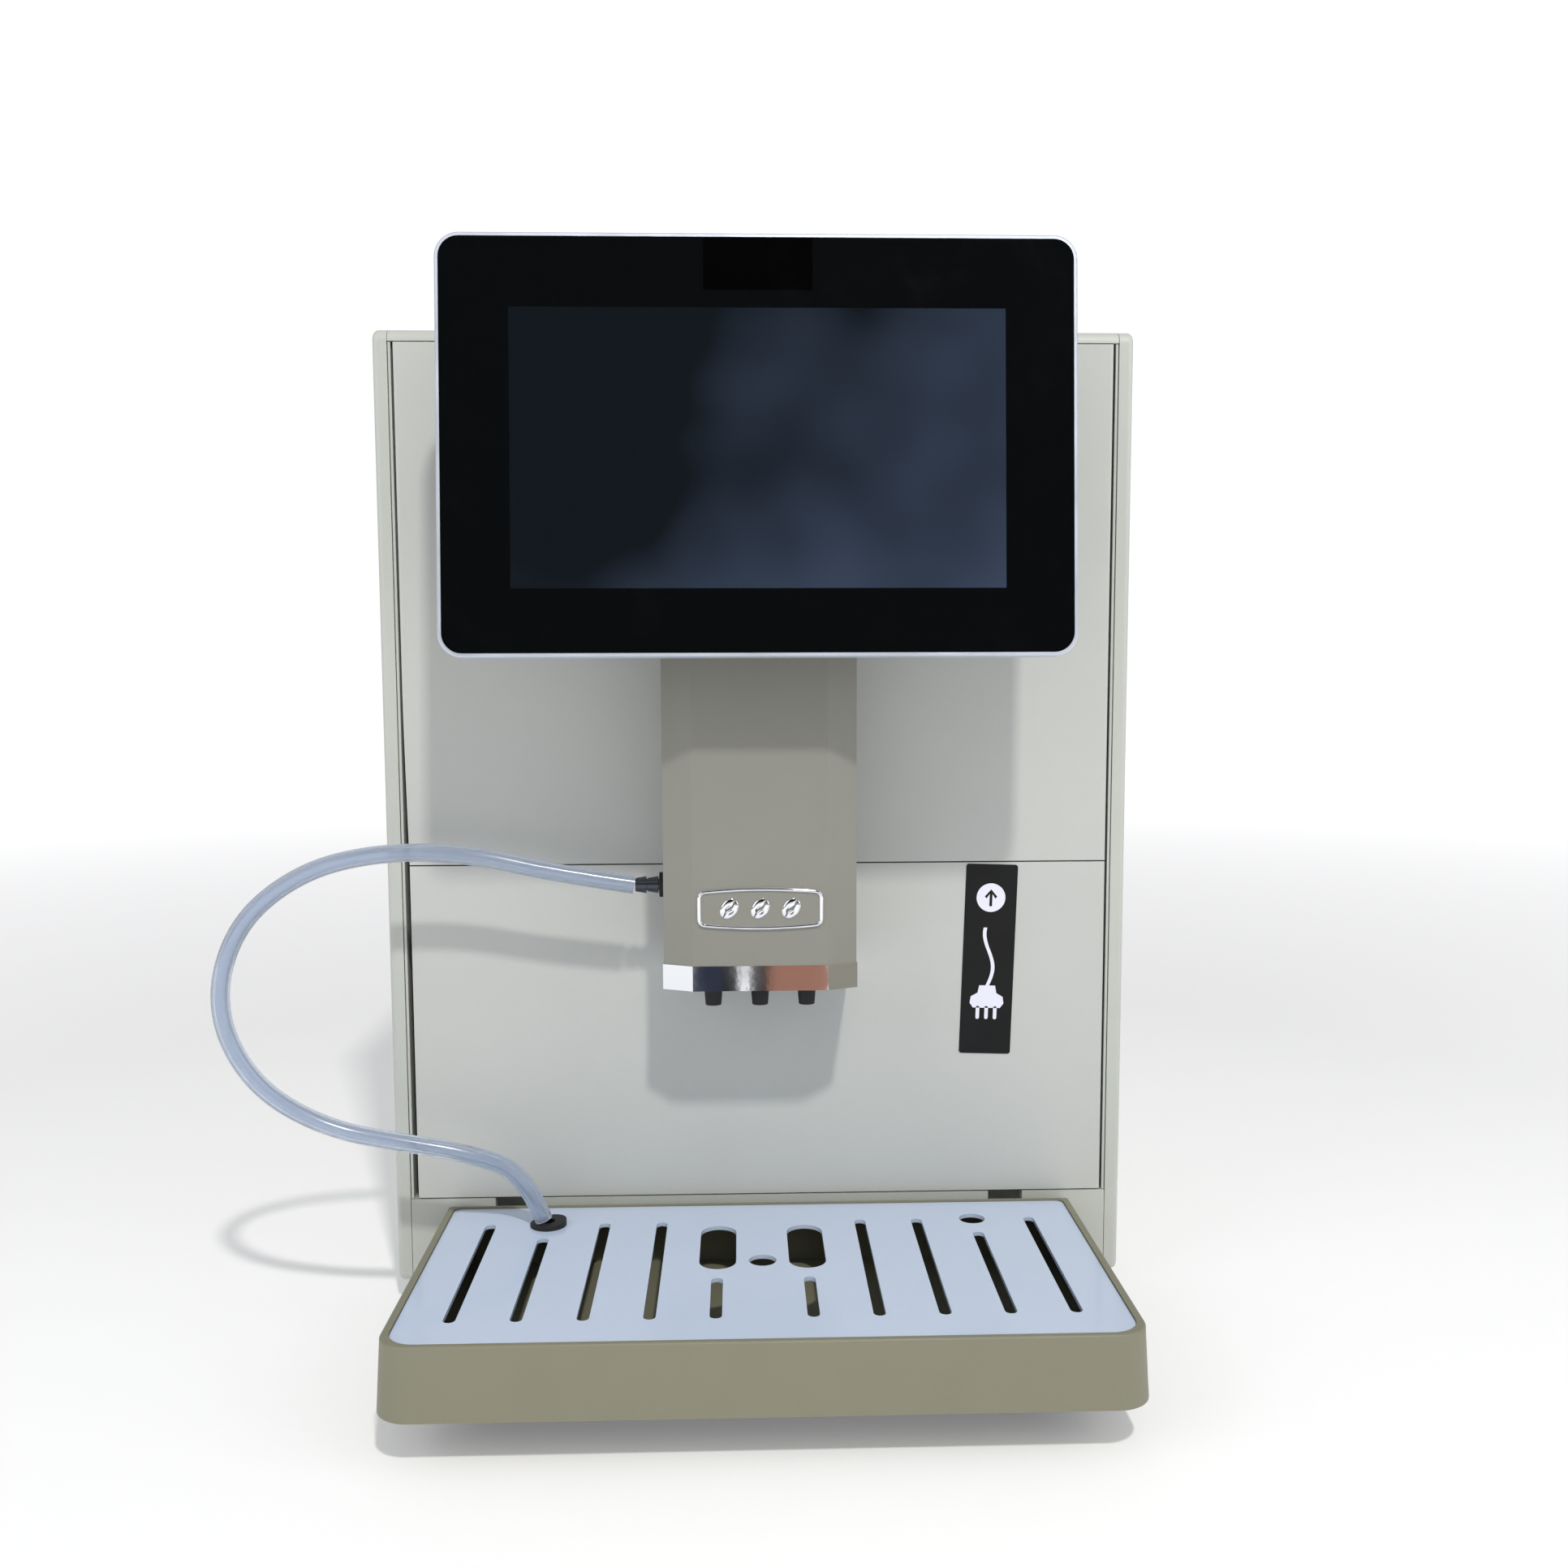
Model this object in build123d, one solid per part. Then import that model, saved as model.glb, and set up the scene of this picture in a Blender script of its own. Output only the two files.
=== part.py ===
from build123d import *
import math
import os

# Tabletop hot coffee vending machine, millimetres, +Z up, front facing -Y.
# Origin: centre of the footprint, on the table.

# ---- overall cabinet ----
CAB_WIDTH = 386.0
CAB_TOP = 507.7
CAB_BOTTOM = 12.0
FRONT_Y = -100.0
CAB_DEPTH = 370.0
SIDE_WALL = 7.6
SIDE_EDGE_R = 3.0
TOP_EDGE_R = 6.0
BOTTOM_CORNER_R = 5.0
GAP = 0.3
HALF = CAB_WIDTH / 2
INNER = HALF - SIDE_WALL
DOOR_DEPTH = 13.5

# ---- base, plinth and feet ----
BASE_SHEET = 3.0
PLINTH_TOP = 57.4
PLINTH_DEPTH = 26.0
PLINTH_WALL = 3.0
FOOT_R = 12.0
FOOT_INSET_X = 150.0
FOOT_FRONT_IN = 40.0
FOOT_BACK_IN = 30.0
SHELF_HALF_WIDTH = 150.0
SHELF_REACH = 148.0
SHELF_TOP = 23.1
SHELF_FOOT_X = 125.0
SHELF_FOOT_BACK = 38.0

# ---- top cover and back ----
COVER_HEIGHT = 6.2
COVER_BOTTOM = CAB_TOP - COVER_HEIGHT
COVER_WALL = 2.5
BACK_SHEET = 3.0
HOPPER_MOUTH = (-150.0, 20.0, 50.0, 170.0)
VENT_WIDTH = 3.5
VENT_LENGTH = 60.0
VENT_PITCH = 9.0
VENT_COUNT = 9

# ---- side flanges and trim strips beside the door ----
FLANGE_GAP = 13.0
FLANGE_Y = DOOR_DEPTH + FLANGE_GAP
FLANGE_DEPTH = 2.5
FLANGE_REACH = 14.0
STRIP_GAP = 0.4
STRIP_WIDTH = 1.25
STRIP_OUTER = INNER - STRIP_GAP
STRIP_INNER = STRIP_OUTER - STRIP_WIDTH
STRIP_SETBACK = 0.6

# ---- door leaf ----
DOOR_SIDE_GAP = 1.05
DOOR_LOW_GAP = 0.8
DOOR_HIGH_GAP = 0.5
DOOR_HALF = STRIP_INNER - DOOR_SIDE_GAP
DOOR_BOTTOM = PLINTH_TOP + DOOR_LOW_GAP
DOOR_TOP = COVER_BOTTOM - DOOR_HIGH_GAP
SEAM_Z = 235.8
SEAM_GAP = 0.7
SKIN = 2.2
SKIN_EDGE_R = 1.5
FRAME_WALL = 2.5
FRAME_LEFT_IN = 2.6
FINGER_GAP = 1.7
FINGER_GAP_TOP = 330.0
HINGE_INSET = 17.7
HINGE_X = DOOR_HALF - HINGE_INSET
HINGE_Y = DOOR_DEPTH / 2 - 0.25
HINGE_PIN_R = 2.0
HINGE_FIT = 0.05
HINGE_LUG_HALF = 4.0
HINGE_PIN_DEPTH = 14.0
BUMPER_R = 4.0
FEED_SLOT_HALF = 8.0
FEED_SLOT_BOTTOM = 250.0
FEED_SLOT_TOP = 345.0

# ---- touch screen ----
SCREEN_Z = 435.3
SCREEN_Y = -90.0
SCREEN_TILT = 4.5
ACTIVE_W = 222.72
ACTIVE_H = 125.28
GLASS_W = 284.5
GLASS_UP = 93.9
GLASS_DOWN = 91.5
GLASS_R = 9.0
GLASS_T = 2.0
LIP = 1.8
LIP_CHAMFER = 0.5
BEZEL_DEPTH = 9.0
BEZEL_WALL = 4.0
SHELL_DEPTH = 22.0
SHELL_IN = 3.0
SHELL_WALL = 2.5
LCD_T = 4.0
LCD_BORDER = 6.0
BRACKET_HALF = 45.0
BRACKET_Z0 = 476.0
BRACKET_Z1 = 498.0
BRACKET_WALL = 4.0
BRACKET_PLATE_HALF = 70.0
BRACKET_PLATE_T = 3.0
BRACKET_SCREW_R = 4.0
BRACKET_SCREW_X = 60.0

# ---- dispensing spout ----
SPOUT_FRONT = -58.8
SPOUT_FLAT_HALF = 32.7
SPOUT_CHAMFER_Y = -52.3
SPOUT_HALF = 47.1
SPOUT_BACK = -1.0
SPOUT_WALL = 2.5
SPOUT_TOP = 400.0
COVER_LOW = 193.4
TIP_LOW = 181.1
TIP_OUT = 0.5
TIP_WALL = 1.6
TIP_COLLAR = 8.0
NOZZLE_PITCH = 23.4
NOZZLE_Y = -36.0
NOZZLE_TOP_R = 4.95
NOZZLE_END_R = 3.95
NOZZLE_END_Z = 169.5
NOZZLE_BORE_R = 1.8
NOZZLE_STEM_R = 3.4
SPOUT_TRAVEL = 62.0
RAIL_HEAD_HALF = 16.0
RAIL_WEB_HALF = 9.0
RAIL_REACH = 14.0
RAIL_HEAD_T = 4.0
RAIL_RUN_CLEAR = 3.0
RAIL_BOTTOM = COVER_LOW + TIP_COLLAR + SPOUT_TRAVEL + RAIL_RUN_CLEAR
CARRIAGE_BOTTOM = RAIL_BOTTOM + 1.6
CARRIAGE_TOP = 350.0
RAIL_TOP = CARRIAGE_TOP + SPOUT_TRAVEL + 8.0
CARRIAGE_T = 8.0
CARRIAGE_FIT = 0.4
MANIFOLD_H = 10.0
FEED_PIPE_R = 4.0
FEED_PIPE_BORE = 2.6
FEED_PIPE_TOP = 360.0
BADGE_Z = 221.5
BADGE_W = 61.0
BADGE_H = 19.5
BADGE_R = 5.0
BADGE_RIM = 1.6
BADGE_T = 1.4
BADGE_FLOOR = 0.5
BEAN_LONG = 6.4
BEAN_SHORT = 4.4

# ---- milk fitting and milk hose ----
FIT_Z = 230.4
FIT_Y = -37.0
WASHER_R = 6.2
WASHER_T = 2.5
WASHER_BORE = 3.3
FIT_SHANK_R = 3.0
FIT_BARB_R = 4.3
FIT_BARB_SMALL = 3.4
FIT_REACH = 14.4
FIT_BORE_R = 1.7
HOSE_CLEAR = 0.8
HOSE_OD = 9.0
HOSE_ID = 5.0
HOSE_END = (-110.7, -32.5, 57.9)
HOSE_ROUTE = [
    (-101.0, -38.8, 236.6),
    (-141.8, -40.4, 246.6),
    (-183.5, -42.2, 248.6),
    (-224.1, -43.3, 239.4),
    (-257.1, -44.1, 212.8),
    (-268.5, -44.1, 171.4),
    (-251.9, -43.1, 132.5),
    (-216.7, -41.6, 109.6),
    (-178.5, -39.5, 101.2),
    (-145.6, -37.2, 94.2),
    (-120.0, -33.8, 82.8),
    HOSE_END,
]
HOSE_RADIUS_SHARE = 0.45

# ---- drip tray ----
TRAY_BOTTOM = SHELF_TOP + GAP
TRAY_RIM = 55.8
TRAY_HALF = 166.0
TRAY_FRONT = -170.0
TRAY_BACK = -4.3
TRAY_DRAFT = 3.5
TRAY_CORNER_R = 16.0
TRAY_BACK_R = 4.0
TRAY_FLOOR = 3.0
TRAY_LEDGE = 2.6
TRAY_EDGE_R = 1.2
PLATE_SINK = 1.0
PLATE_TOP = TRAY_RIM - PLATE_SINK
PLATE_T = 2.0
RIM_SIDE = 5.8
RIM_FRONT = 5.1
RIM_BACK = 4.3
PLATE_HALF = TRAY_HALF - RIM_SIDE
PLATE_FRONT = TRAY_FRONT + RIM_FRONT
PLATE_BACK = TRAY_BACK - RIM_BACK
PLATE_CORNER_R = 12.5
PLATE_BACK_R = 4.0
SLOT_W = 5.5
SLOT_PITCH = 29.0
SLOT_FIRST_X = 21.5
SLOT_FRONT = -143.3
SLOT_BACK = -31.0
SLOT_BACK_HOLE = -49.9
SLOT_BACK_MID = -100.8
OBLONG_W = 17.7
OBLONG_BACK = -37.1
OBLONG_FRONT = -90.7
ROUND_R = 6.6
ROUND_MID_Y = -81.0
ROUND_SIDE_X = 108.5
ROUND_SIDE_Y = -32.0
GROMMET_R = 9.2
GROMMET_NECK_R = 6.4
GROMMET_BORE_R = 3.4
GROMMET_LOW = 1.0
GROMMET_HIGH = 2.9
GROMMET_TAIL = 5.0
HOOK_X = 131.5
HOOK_W = 16.0
HOOK_T = 5.0
HOOK_Z = 46.5
HOOK_REACH = 5.0
HOOK_SLOT_CLEAR = 1.2
HOOK_DROP = 2.0
HOOK_SLOT_Z = HOOK_Z - HOOK_DROP
HOOK_SLOT_DEPTH = 12.0

# ---- inside: shelf, hopper, grinder ----
SHELF_Z = 340.0
SHELF_SHEET = 3.0
SHELF_FRONT = FLANGE_Y + FLANGE_DEPTH + 3.0
BREW_X = -60.0
BREW_Y = 100.0
GRIND_R = 38.0
GRIND_CAVITY_R = 30.0
GRIND_FLOOR = 16.0
GRIND_TOP = 400.0
GRIND_CHUTE_R = 7.0
GRIND_CHUTE_X = 20.0
BURR_R = 27.0
BURR_T = 10.0
BURR_SHAFT_R = 4.0
SHAFT_FIT = 0.06
HOPPER_WALL = 2.5
HOPPER_RIM_Z = COVER_BOTTOM - GAP
HOPPER_BREAK_Z = 440.0
HOPPER_NECK_HALF = 24.0
HOPPER_FLANGE_T = 3.0

# ---- inside: brewer ----
BREW_FRAME_Y = 154.0
BREW_FRAME_T = 4.0
BREW_FRAME_X0 = -118.0
BREW_FRAME_X1 = 12.0
BREW_SHELF_Z = 135.0
BREW_SHELF_FRONT = 62.0
CHAMBER_R = 27.0
CHAMBER_BORE_R = 22.0
CHAMBER_TOP = 220.0
CHAMBER_FLOOR = 5.0
PISTON_R = 21.7
PISTON_T = 12.0
PISTON_REST = 226.0
PISTON_TRAVEL = 30.0
STEM_R = 8.0
CROSSHEAD_Z = CHAMBER_TOP + PISTON_TRAVEL + 2.0
CROSSHEAD_T = 12.0
SCREW_X = -8.0
SCREW_R = 4.0
SCREW_TOP = 312.0
NUT_R = 9.0
NUT_FIT = 0.5
SCREW_GEAR_R = 18.0
SCREW_GEAR_T = 7.0
MOTOR_R = 19.0
BIN_X0 = -128.0
BIN_X1 = -4.0
BIN_Y0 = 34.0
BIN_Y1 = 150.0
BIN_TOP = 122.0
BIN_WALL = 2.2

# ---- inside: water side ----
BOILER_X = 100.0
BOILER_Y = 90.0
BOILER_R = 32.0
BOILER_Z0 = 45.0
BOILER_Z1 = 190.0
STEAM_Y = 178.0
STEAM_Z1 = 230.0
BOILER_LEG_R = 4.0
BOILER_LEG_IN = 14.0
BOILER_LEG_COUNT = 3
PUMP_X = 90.0
PUMP_Y0 = 235.0
PUMP_Y1 = 310.0
PUMP_R = 20.0
TANK_X0 = 30.0
TANK_X1 = 180.0
TANK_Y0 = 206.0
TANK_Y1 = 354.0
TANK_WALL = 2.5
TANK_TOP = COVER_BOTTOM - 2 * GAP
TANK_MOUTH_IN = 8.0
TANK_MOUTH = (TANK_X0 + TANK_MOUTH_IN, TANK_X1 - TANK_MOUTH_IN,
              TANK_Y0 + TANK_MOUTH_IN, TANK_Y1 - TANK_MOUTH_IN)
PSU_X0 = -165.0
PSU_X1 = -55.0
PSU_Y0 = 215.0
PSU_Y1 = 335.0
PSU_H = 55.0
BOARD_Y0 = 60.0
BOARD_Y1 = 200.0
BOARD_Z0 = 170.0
BOARD_Z1 = 310.0
BOARD_T = 1.6
STANDOFF = 6.0
PIPE_R = 3.0
FAN_X = -100.0
FAN_Z = 260.0
FAN_HALF = 40.0
FAN_T = 20.0
FAN_BORE_R = 37.0
FAN_HUB_R = 15.0
FAN_BLADES = 7
FAN_SHAFT_R = 3.0
INLET_X = 120.0
INLET_Z = 60.0
INLET_W = 27.0
INLET_H = 20.0
INLET_DEPTH = 24.0

# ---- lids ----
LID_T = 3.6
LID_OVERLAP = 6.0
LID_LIFT = 0.3
LID_CORNER_R = 6.0
LID_BARREL_R = 3.0
LID_PIN_R = 1.2
LID_FIT = 0.06
LID_EAR_W = 8.0
LID_EAR_GAP = 0.4
LID_HINGE_IN = 24.0

# ---- power switch ----
SWITCH_Y = 42.0
SWITCH_Z = 205.0
SWITCH_W = 13.0
SWITCH_H = 21.0
SWITCH_FRAME = 2.0
SWITCH_DEPTH = 16.0
ROCKER_PIVOT_IN = 10.0
ROCKER_PIN_R = 1.5

# ---- label ----
LABEL_W = 27.3
LABEL_H = 101.4
LABEL_X = 121.2
LABEL_TOP = 235.0
LABEL_TURN = 1.9
LABEL_T = 0.3


def block(x0, x1, y0, y1, z0, z1):
    """Box between two corners; y is counted from the front plane."""
    size = Box(x1 - x0, y1 - y0, z1 - z0)
    return Pos((x0 + x1) / 2, FRONT_Y + (y0 + y1) / 2, (z0 + z1) / 2) * size


def post(x, y, z0, z1, r):
    """Upright cylinder; y is counted from the front plane."""
    return Pos(x, FRONT_Y + y, (z0 + z1) / 2) * Cylinder(r, z1 - z0)


def bar_x(x0, x1, y, z, r):
    """Cylinder lying along X."""
    return Pos((x0 + x1) / 2, FRONT_Y + y, z) * Rot(0, 90, 0) * Cylinder(r, x1 - x0)


def bar_y(x, y0, y1, z, r):
    """Cylinder lying along Y."""
    return Pos(x, FRONT_Y + (y0 + y1) / 2, z) * Rot(90, 0, 0) * Cylinder(r, y1 - y0)


def round_plate(x0, x1, y0, y1, z0, z1, r):
    """Flat plate with rounded corners in plan."""
    sheet = RectangleRounded(x1 - x0, y1 - y0, r)
    plan = Pos((x0 + x1) / 2, FRONT_Y + (y0 + y1) / 2, z0) * sheet
    return extrude(plan, z1 - z0)


def box_shell(x0, x1, y0, y1, z0, z1, wall, floor):
    """Open-topped box."""
    outer = block(x0, x1, y0, y1, z0, z1)
    return outer - block(x0 + wall, x1 - wall, y0 + wall, y1 - wall, z0 + floor, z1 + 1)


def joined(pieces):
    """Pieces as one node of separate or fused solids."""
    total = pieces[0]
    for piece in pieces[1:]:
        total = total + piece
    return total


# ---------------- base ----------------

def make_base_pan():
    """Folded floor pan with a low upstand at its rim."""
    edge = INNER - GAP
    floor_top = CAB_BOTTOM + BASE_SHEET
    front = PLINTH_DEPTH + GAP
    rear = CAB_DEPTH - BACK_SHEET - GAP
    pan = block(-edge, edge, front, rear, CAB_BOTTOM, floor_top)
    rim_top = floor_top + 4 * BASE_SHEET
    rim = block(-edge, edge, front, rear, floor_top, rim_top)
    inside = block(-edge + BASE_SHEET, edge - BASE_SHEET, front - 1, rear - BASE_SHEET, floor_top, rim_top + 1)
    return pan + (rim - inside)


def make_plinth():
    """Hollow front plinth with the two slits that take the tray hooks."""
    edge = INNER - GAP
    shell = block(-edge, edge, 0, PLINTH_DEPTH, CAB_BOTTOM, PLINTH_TOP)
    inner_top = PLINTH_TOP - PLINTH_WALL
    hollow = block(-edge + PLINTH_WALL, edge - PLINTH_WALL, PLINTH_WALL + HOOK_SLOT_DEPTH,
                   PLINTH_DEPTH + 1, CAB_BOTTOM + PLINTH_WALL, inner_top)
    plinth = shell - hollow
    half = HOOK_W / 2 + HOOK_SLOT_CLEAR
    for x in (-HOOK_X, HOOK_X):
        plinth -= block(x - half, x + half, -1, HOOK_SLOT_DEPTH, HOOK_SLOT_Z, PLINTH_TOP + 1)
    pin = post(HINGE_X, HINGE_Y, PLINTH_TOP - HINGE_PIN_DEPTH / 2, PLINTH_TOP + 1, HINGE_PIN_R)
    return plinth - pin


def make_tray_shelf():
    """Flat tongue of the base that reaches out under the drip tray."""
    tongue = round_plate(-SHELF_HALF_WIDTH, SHELF_HALF_WIDTH, -SHELF_REACH, 0,
                         CAB_BOTTOM, SHELF_TOP, LID_CORNER_R)
    hollow_half = SHELF_HALF_WIDTH - 2 * PLINTH_WALL
    hollow = block(-hollow_half, hollow_half, -SHELF_REACH + 2 * PLINTH_WALL, -2 * PLINTH_WALL,
                   CAB_BOTTOM - 1, SHELF_TOP - PLINTH_WALL)
    pads = [post(x, -SHELF_REACH + SHELF_FOOT_BACK, CAB_BOTTOM, SHELF_TOP - PLINTH_WALL, FOOT_R)
            for x in (-SHELF_FOOT_X, SHELF_FOOT_X)]
    return tongue - hollow + pads[0] + pads[1]


def make_feet():
    """Six rubber feet on the table."""
    spots = [(x, FOOT_FRONT_IN) for x in (-FOOT_INSET_X, FOOT_INSET_X)]
    spots += [(x, CAB_DEPTH - FOOT_BACK_IN) for x in (-FOOT_INSET_X, FOOT_INSET_X)]
    spots += [(x, -SHELF_REACH + SHELF_FOOT_BACK) for x in (-SHELF_FOOT_X, SHELF_FOOT_X)]
    feet = [chamfer(post(x, y, 0, CAB_BOTTOM, FOOT_R).edges().sort_by(Axis.Z)[0], 1.5) for x, y in spots]
    return Compound(children=feet)


# ---------------- cabinet shell ----------------

def make_side_panel(side):
    """Moulded side panel with rounded outer edges and an inner door flange."""
    x0, x1 = sorted((side * INNER, side * HALF))
    panel = block(x0, x1, 0, CAB_DEPTH, CAB_BOTTOM, CAB_TOP)
    front_top = panel.edges().filter_by(Axis.X).sort_by(Axis.Z)[-2:]
    panel = fillet(front_top, TOP_EDGE_R)
    low = panel.edges().filter_by(Axis.X).sort_by(Axis.Z)[:2]
    panel = fillet(low, BOTTOM_CORNER_R)
    outer_face = panel.faces().sort_by(Axis.X)[-1 if side > 0 else 0]
    panel = fillet(outer_face.edges(), SIDE_EDGE_R)
    f0, f1 = sorted((side * (INNER - FLANGE_REACH), side * (INNER + 1)))
    panel += block(f0, f1, FLANGE_Y, FLANGE_Y + FLANGE_DEPTH, PLINTH_TOP + GAP, COVER_BOTTOM - 4 * COVER_WALL)
    return panel


def side_vents(side):
    """Cutter for the louvre slots low on a side panel."""
    x0, x1 = sorted((side * (INNER - 1), side * (HALF + 1)))
    start = CAB_DEPTH - 60 - VENT_LENGTH
    cuts = [block(x0, x1, start, start + VENT_LENGTH, 90 + i * VENT_PITCH, 90 + i * VENT_PITCH + VENT_WIDTH)
            for i in range(VENT_COUNT)]
    return Compound(children=cuts)


def make_side_panel_left():
    """Left side panel with the opening for the power switch."""
    half_w = SWITCH_W / 2 + SWITCH_FRAME - 0.8
    half_h = SWITCH_H / 2 + SWITCH_FRAME - 0.8
    hole = block(-HALF - 1, -INNER + 1, SWITCH_Y - half_w, SWITCH_Y + half_w, SWITCH_Z - half_h, SWITCH_Z + half_h)
    recess_w = half_w + 0.8 + GAP
    recess_h = half_h + 0.8 + GAP
    recess = block(-HALF - 1, -HALF + SWITCH_FRAME, SWITCH_Y - recess_w, SWITCH_Y + recess_w,
                   SWITCH_Z - recess_h, SWITCH_Z + recess_h)
    return make_side_panel(-1) - side_vents(-1) - hole - recess


def make_side_panel_right():
    """Right side panel."""
    return make_side_panel(1) - side_vents(1)


def make_trim_strips():
    """Two thin upright strips between the side panels and the door."""
    strips = []
    for side in (-1, 1):
        x0, x1 = sorted((side * STRIP_INNER, side * STRIP_OUTER))
        strips.append(block(x0, x1, STRIP_SETBACK, FLANGE_Y, PLINTH_TOP + GAP, COVER_BOTTOM - GAP))
    return Compound(children=strips)


def make_back_panel():
    """Steel rear sheet with the fan grille, vents and mains inlet cut-out."""
    edge = INNER - GAP
    sheet = block(-edge, edge, CAB_DEPTH - BACK_SHEET, CAB_DEPTH, CAB_BOTTOM, COVER_BOTTOM - GAP)
    y0, y1 = CAB_DEPTH - BACK_SHEET - 1, CAB_DEPTH + 1
    cuts = [block(INLET_X - INLET_W / 2 - GAP, INLET_X + INLET_W / 2 + GAP, y0, y1,
                  INLET_Z - INLET_H / 2 - GAP, INLET_Z + INLET_H / 2 + GAP)]
    for i in range(VENT_COUNT - 2):
        offset = (i - (VENT_COUNT - 3) / 2) * VENT_PITCH
        reach = math.sqrt((FAN_BORE_R - 3) ** 2 - offset ** 2)
        cuts.append(block(FAN_X - reach, FAN_X + reach, y0, y1,
                          FAN_Z + offset - VENT_WIDTH / 2, FAN_Z + offset + VENT_WIDTH / 2))
    for i in range(VENT_COUNT):
        z = 110 + i * VENT_PITCH
        cuts.append(block(40, 40 + 2 * VENT_LENGTH, y0, y1, z, z + VENT_WIDTH))
    return sheet - Compound(children=cuts)


def mouth_block(mouth, grow, z0, z1):
    """Block over a lid mouth, grown all round."""
    x0, x1, y0, y1 = mouth
    return block(x0 - grow, x1 + grow, y0 - grow, y1 + grow, z0, z1)


def make_top_cover():
    """Top cover that rolls over the front edge, with the two filling mouths."""
    edge = INNER - GAP
    outer = block(-edge, edge, 0, CAB_DEPTH, COVER_BOTTOM, CAB_TOP)
    front_edge = outer.edges().filter_by(Axis.X).sort_by(Axis.Z)[-2:]
    outer = fillet(front_edge, TOP_EDGE_R - 0.2)
    inside = block(-edge + COVER_WALL, edge - COVER_WALL, DOOR_DEPTH + FRAME_WALL + 4,
                   CAB_DEPTH - COVER_WALL, COVER_BOTTOM - 1, CAB_TOP - COVER_WALL)
    cover = outer - inside
    cover -= mouth_block(HOPPER_MOUTH, 0, COVER_BOTTOM - 1, CAB_TOP + 1)
    cover -= mouth_block(TANK_MOUTH, 0, COVER_BOTTOM - 1, CAB_TOP + 1)
    cover -= post(HINGE_X, HINGE_Y, COVER_BOTTOM - 1, COVER_BOTTOM + 3, HINGE_PIN_R)
    for mouth in (HOPPER_MOUTH, TANK_MOUTH):
        cover += lid_ears(mouth)
    return cover


def make_hinge_pins():
    """Upper and lower steel pins that the door turns on."""
    low = post(HINGE_X, HINGE_Y, PLINTH_TOP - HINGE_PIN_DEPTH / 2, DOOR_BOTTOM + HINGE_PIN_DEPTH, HINGE_PIN_R)
    high = post(HINGE_X, HINGE_Y, DOOR_TOP - HINGE_PIN_DEPTH, COVER_BOTTOM + 3, HINGE_PIN_R)
    return Compound(children=[low, high])


def make_door_bumpers():
    """Rubber stops on the left flange that the closed door rests on."""
    x = -INNER + FLANGE_REACH - BUMPER_R - 1
    stops = [bar_y(x, DOOR_DEPTH + GAP, FLANGE_Y, z, BUMPER_R)
             for z in (DOOR_BOTTOM + 40, SEAM_Z, DOOR_TOP - 40)]
    return Compound(children=stops)


# ---------------- lids ----------------

def lid_axis(mouth):
    """Depth from the front plane and height of a lid's hinge axis."""
    return mouth[3] + LID_OVERLAP + LID_BARREL_R + LID_EAR_GAP, CAB_TOP + LID_LIFT + LID_BARREL_R


def lid_hinge_spans(mouth):
    """X centres of the two hinges of a lid."""
    return mouth[0] + LID_HINGE_IN, mouth[1] - LID_HINGE_IN


def lid_ears(mouth):
    """Ears and pins of the cover for one lid."""
    y, z = lid_axis(mouth)
    total = None
    for x in lid_hinge_spans(mouth):
        for side in (-1, 1):
            inner = x + side * (LID_EAR_W / 2 + LID_EAR_GAP)
            outer = inner + side * LID_EAR_W / 2
            x0, x1 = sorted((inner, outer))
            ear = bar_x(x0, x1, y, z, LID_BARREL_R)
            ear += block(x0, x1, y - LID_BARREL_R, y + LID_BARREL_R, CAB_TOP - 1, z)
            total = ear if total is None else total + ear
        reach = LID_EAR_W / 2 + LID_EAR_GAP + 1
        total += bar_x(x - reach, x + reach, y, z, LID_PIN_R)
    return total


def make_lid(mouth):
    """Flat lid with a locating rib and two hinge barrels."""
    x0, x1, y0, y1 = mouth
    low = CAB_TOP + LID_LIFT
    over = LID_OVERLAP
    lid = round_plate(x0 - over, x1 + over, y0 - over, y1 + over, low, low + LID_T, LID_CORNER_R)
    lid = fillet(lid.faces().sort_by(Axis.Z)[-1].edges(), 1.0)
    y, z = lid_axis(mouth)
    for x in lid_hinge_spans(mouth):
        half = LID_EAR_W / 2
        clear = LID_EAR_W + 2 * LID_EAR_GAP
        lid -= block(x - clear, x + clear, y - LID_BARREL_R - LID_EAR_GAP, y1 + over + 1, low - 1, low + LID_T + 1)
        barrel = bar_x(x - half, x + half, y, z, LID_BARREL_R)
        barrel += block(x - half, x + half, y - LID_BARREL_R - 2, y, low, low + LID_T - 1)
        lid += barrel
        lid -= bar_x(x - half - 1, x + half + 1, y, z, LID_PIN_R + LID_FIT)
    return lid


def make_hopper_lid():
    """Lid over the bean hopper."""
    return make_lid(HOPPER_MOUTH)


def make_tank_lid():
    """Lid over the water tank."""
    return make_lid(TANK_MOUTH)


# ---------------- inside ----------------

def make_equipment_shelf():
    """Steel shelf across the cabinet with the coffee chute hole."""
    edge = INNER - GAP
    sheet = block(-edge, edge, SHELF_FRONT, CAB_DEPTH - BACK_SHEET - GAP, SHELF_Z, SHELF_Z + SHELF_SHEET)
    lip = block(-edge, edge, SHELF_FRONT, SHELF_FRONT + SHELF_SHEET, SHELF_Z - 12, SHELF_Z)
    hole = post(BREW_X - GRIND_CHUTE_X, BREW_Y, SHELF_Z - 1, SHELF_Z + SHELF_SHEET + 1, GRIND_CHUTE_R + 2)
    return sheet + lip - hole


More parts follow.
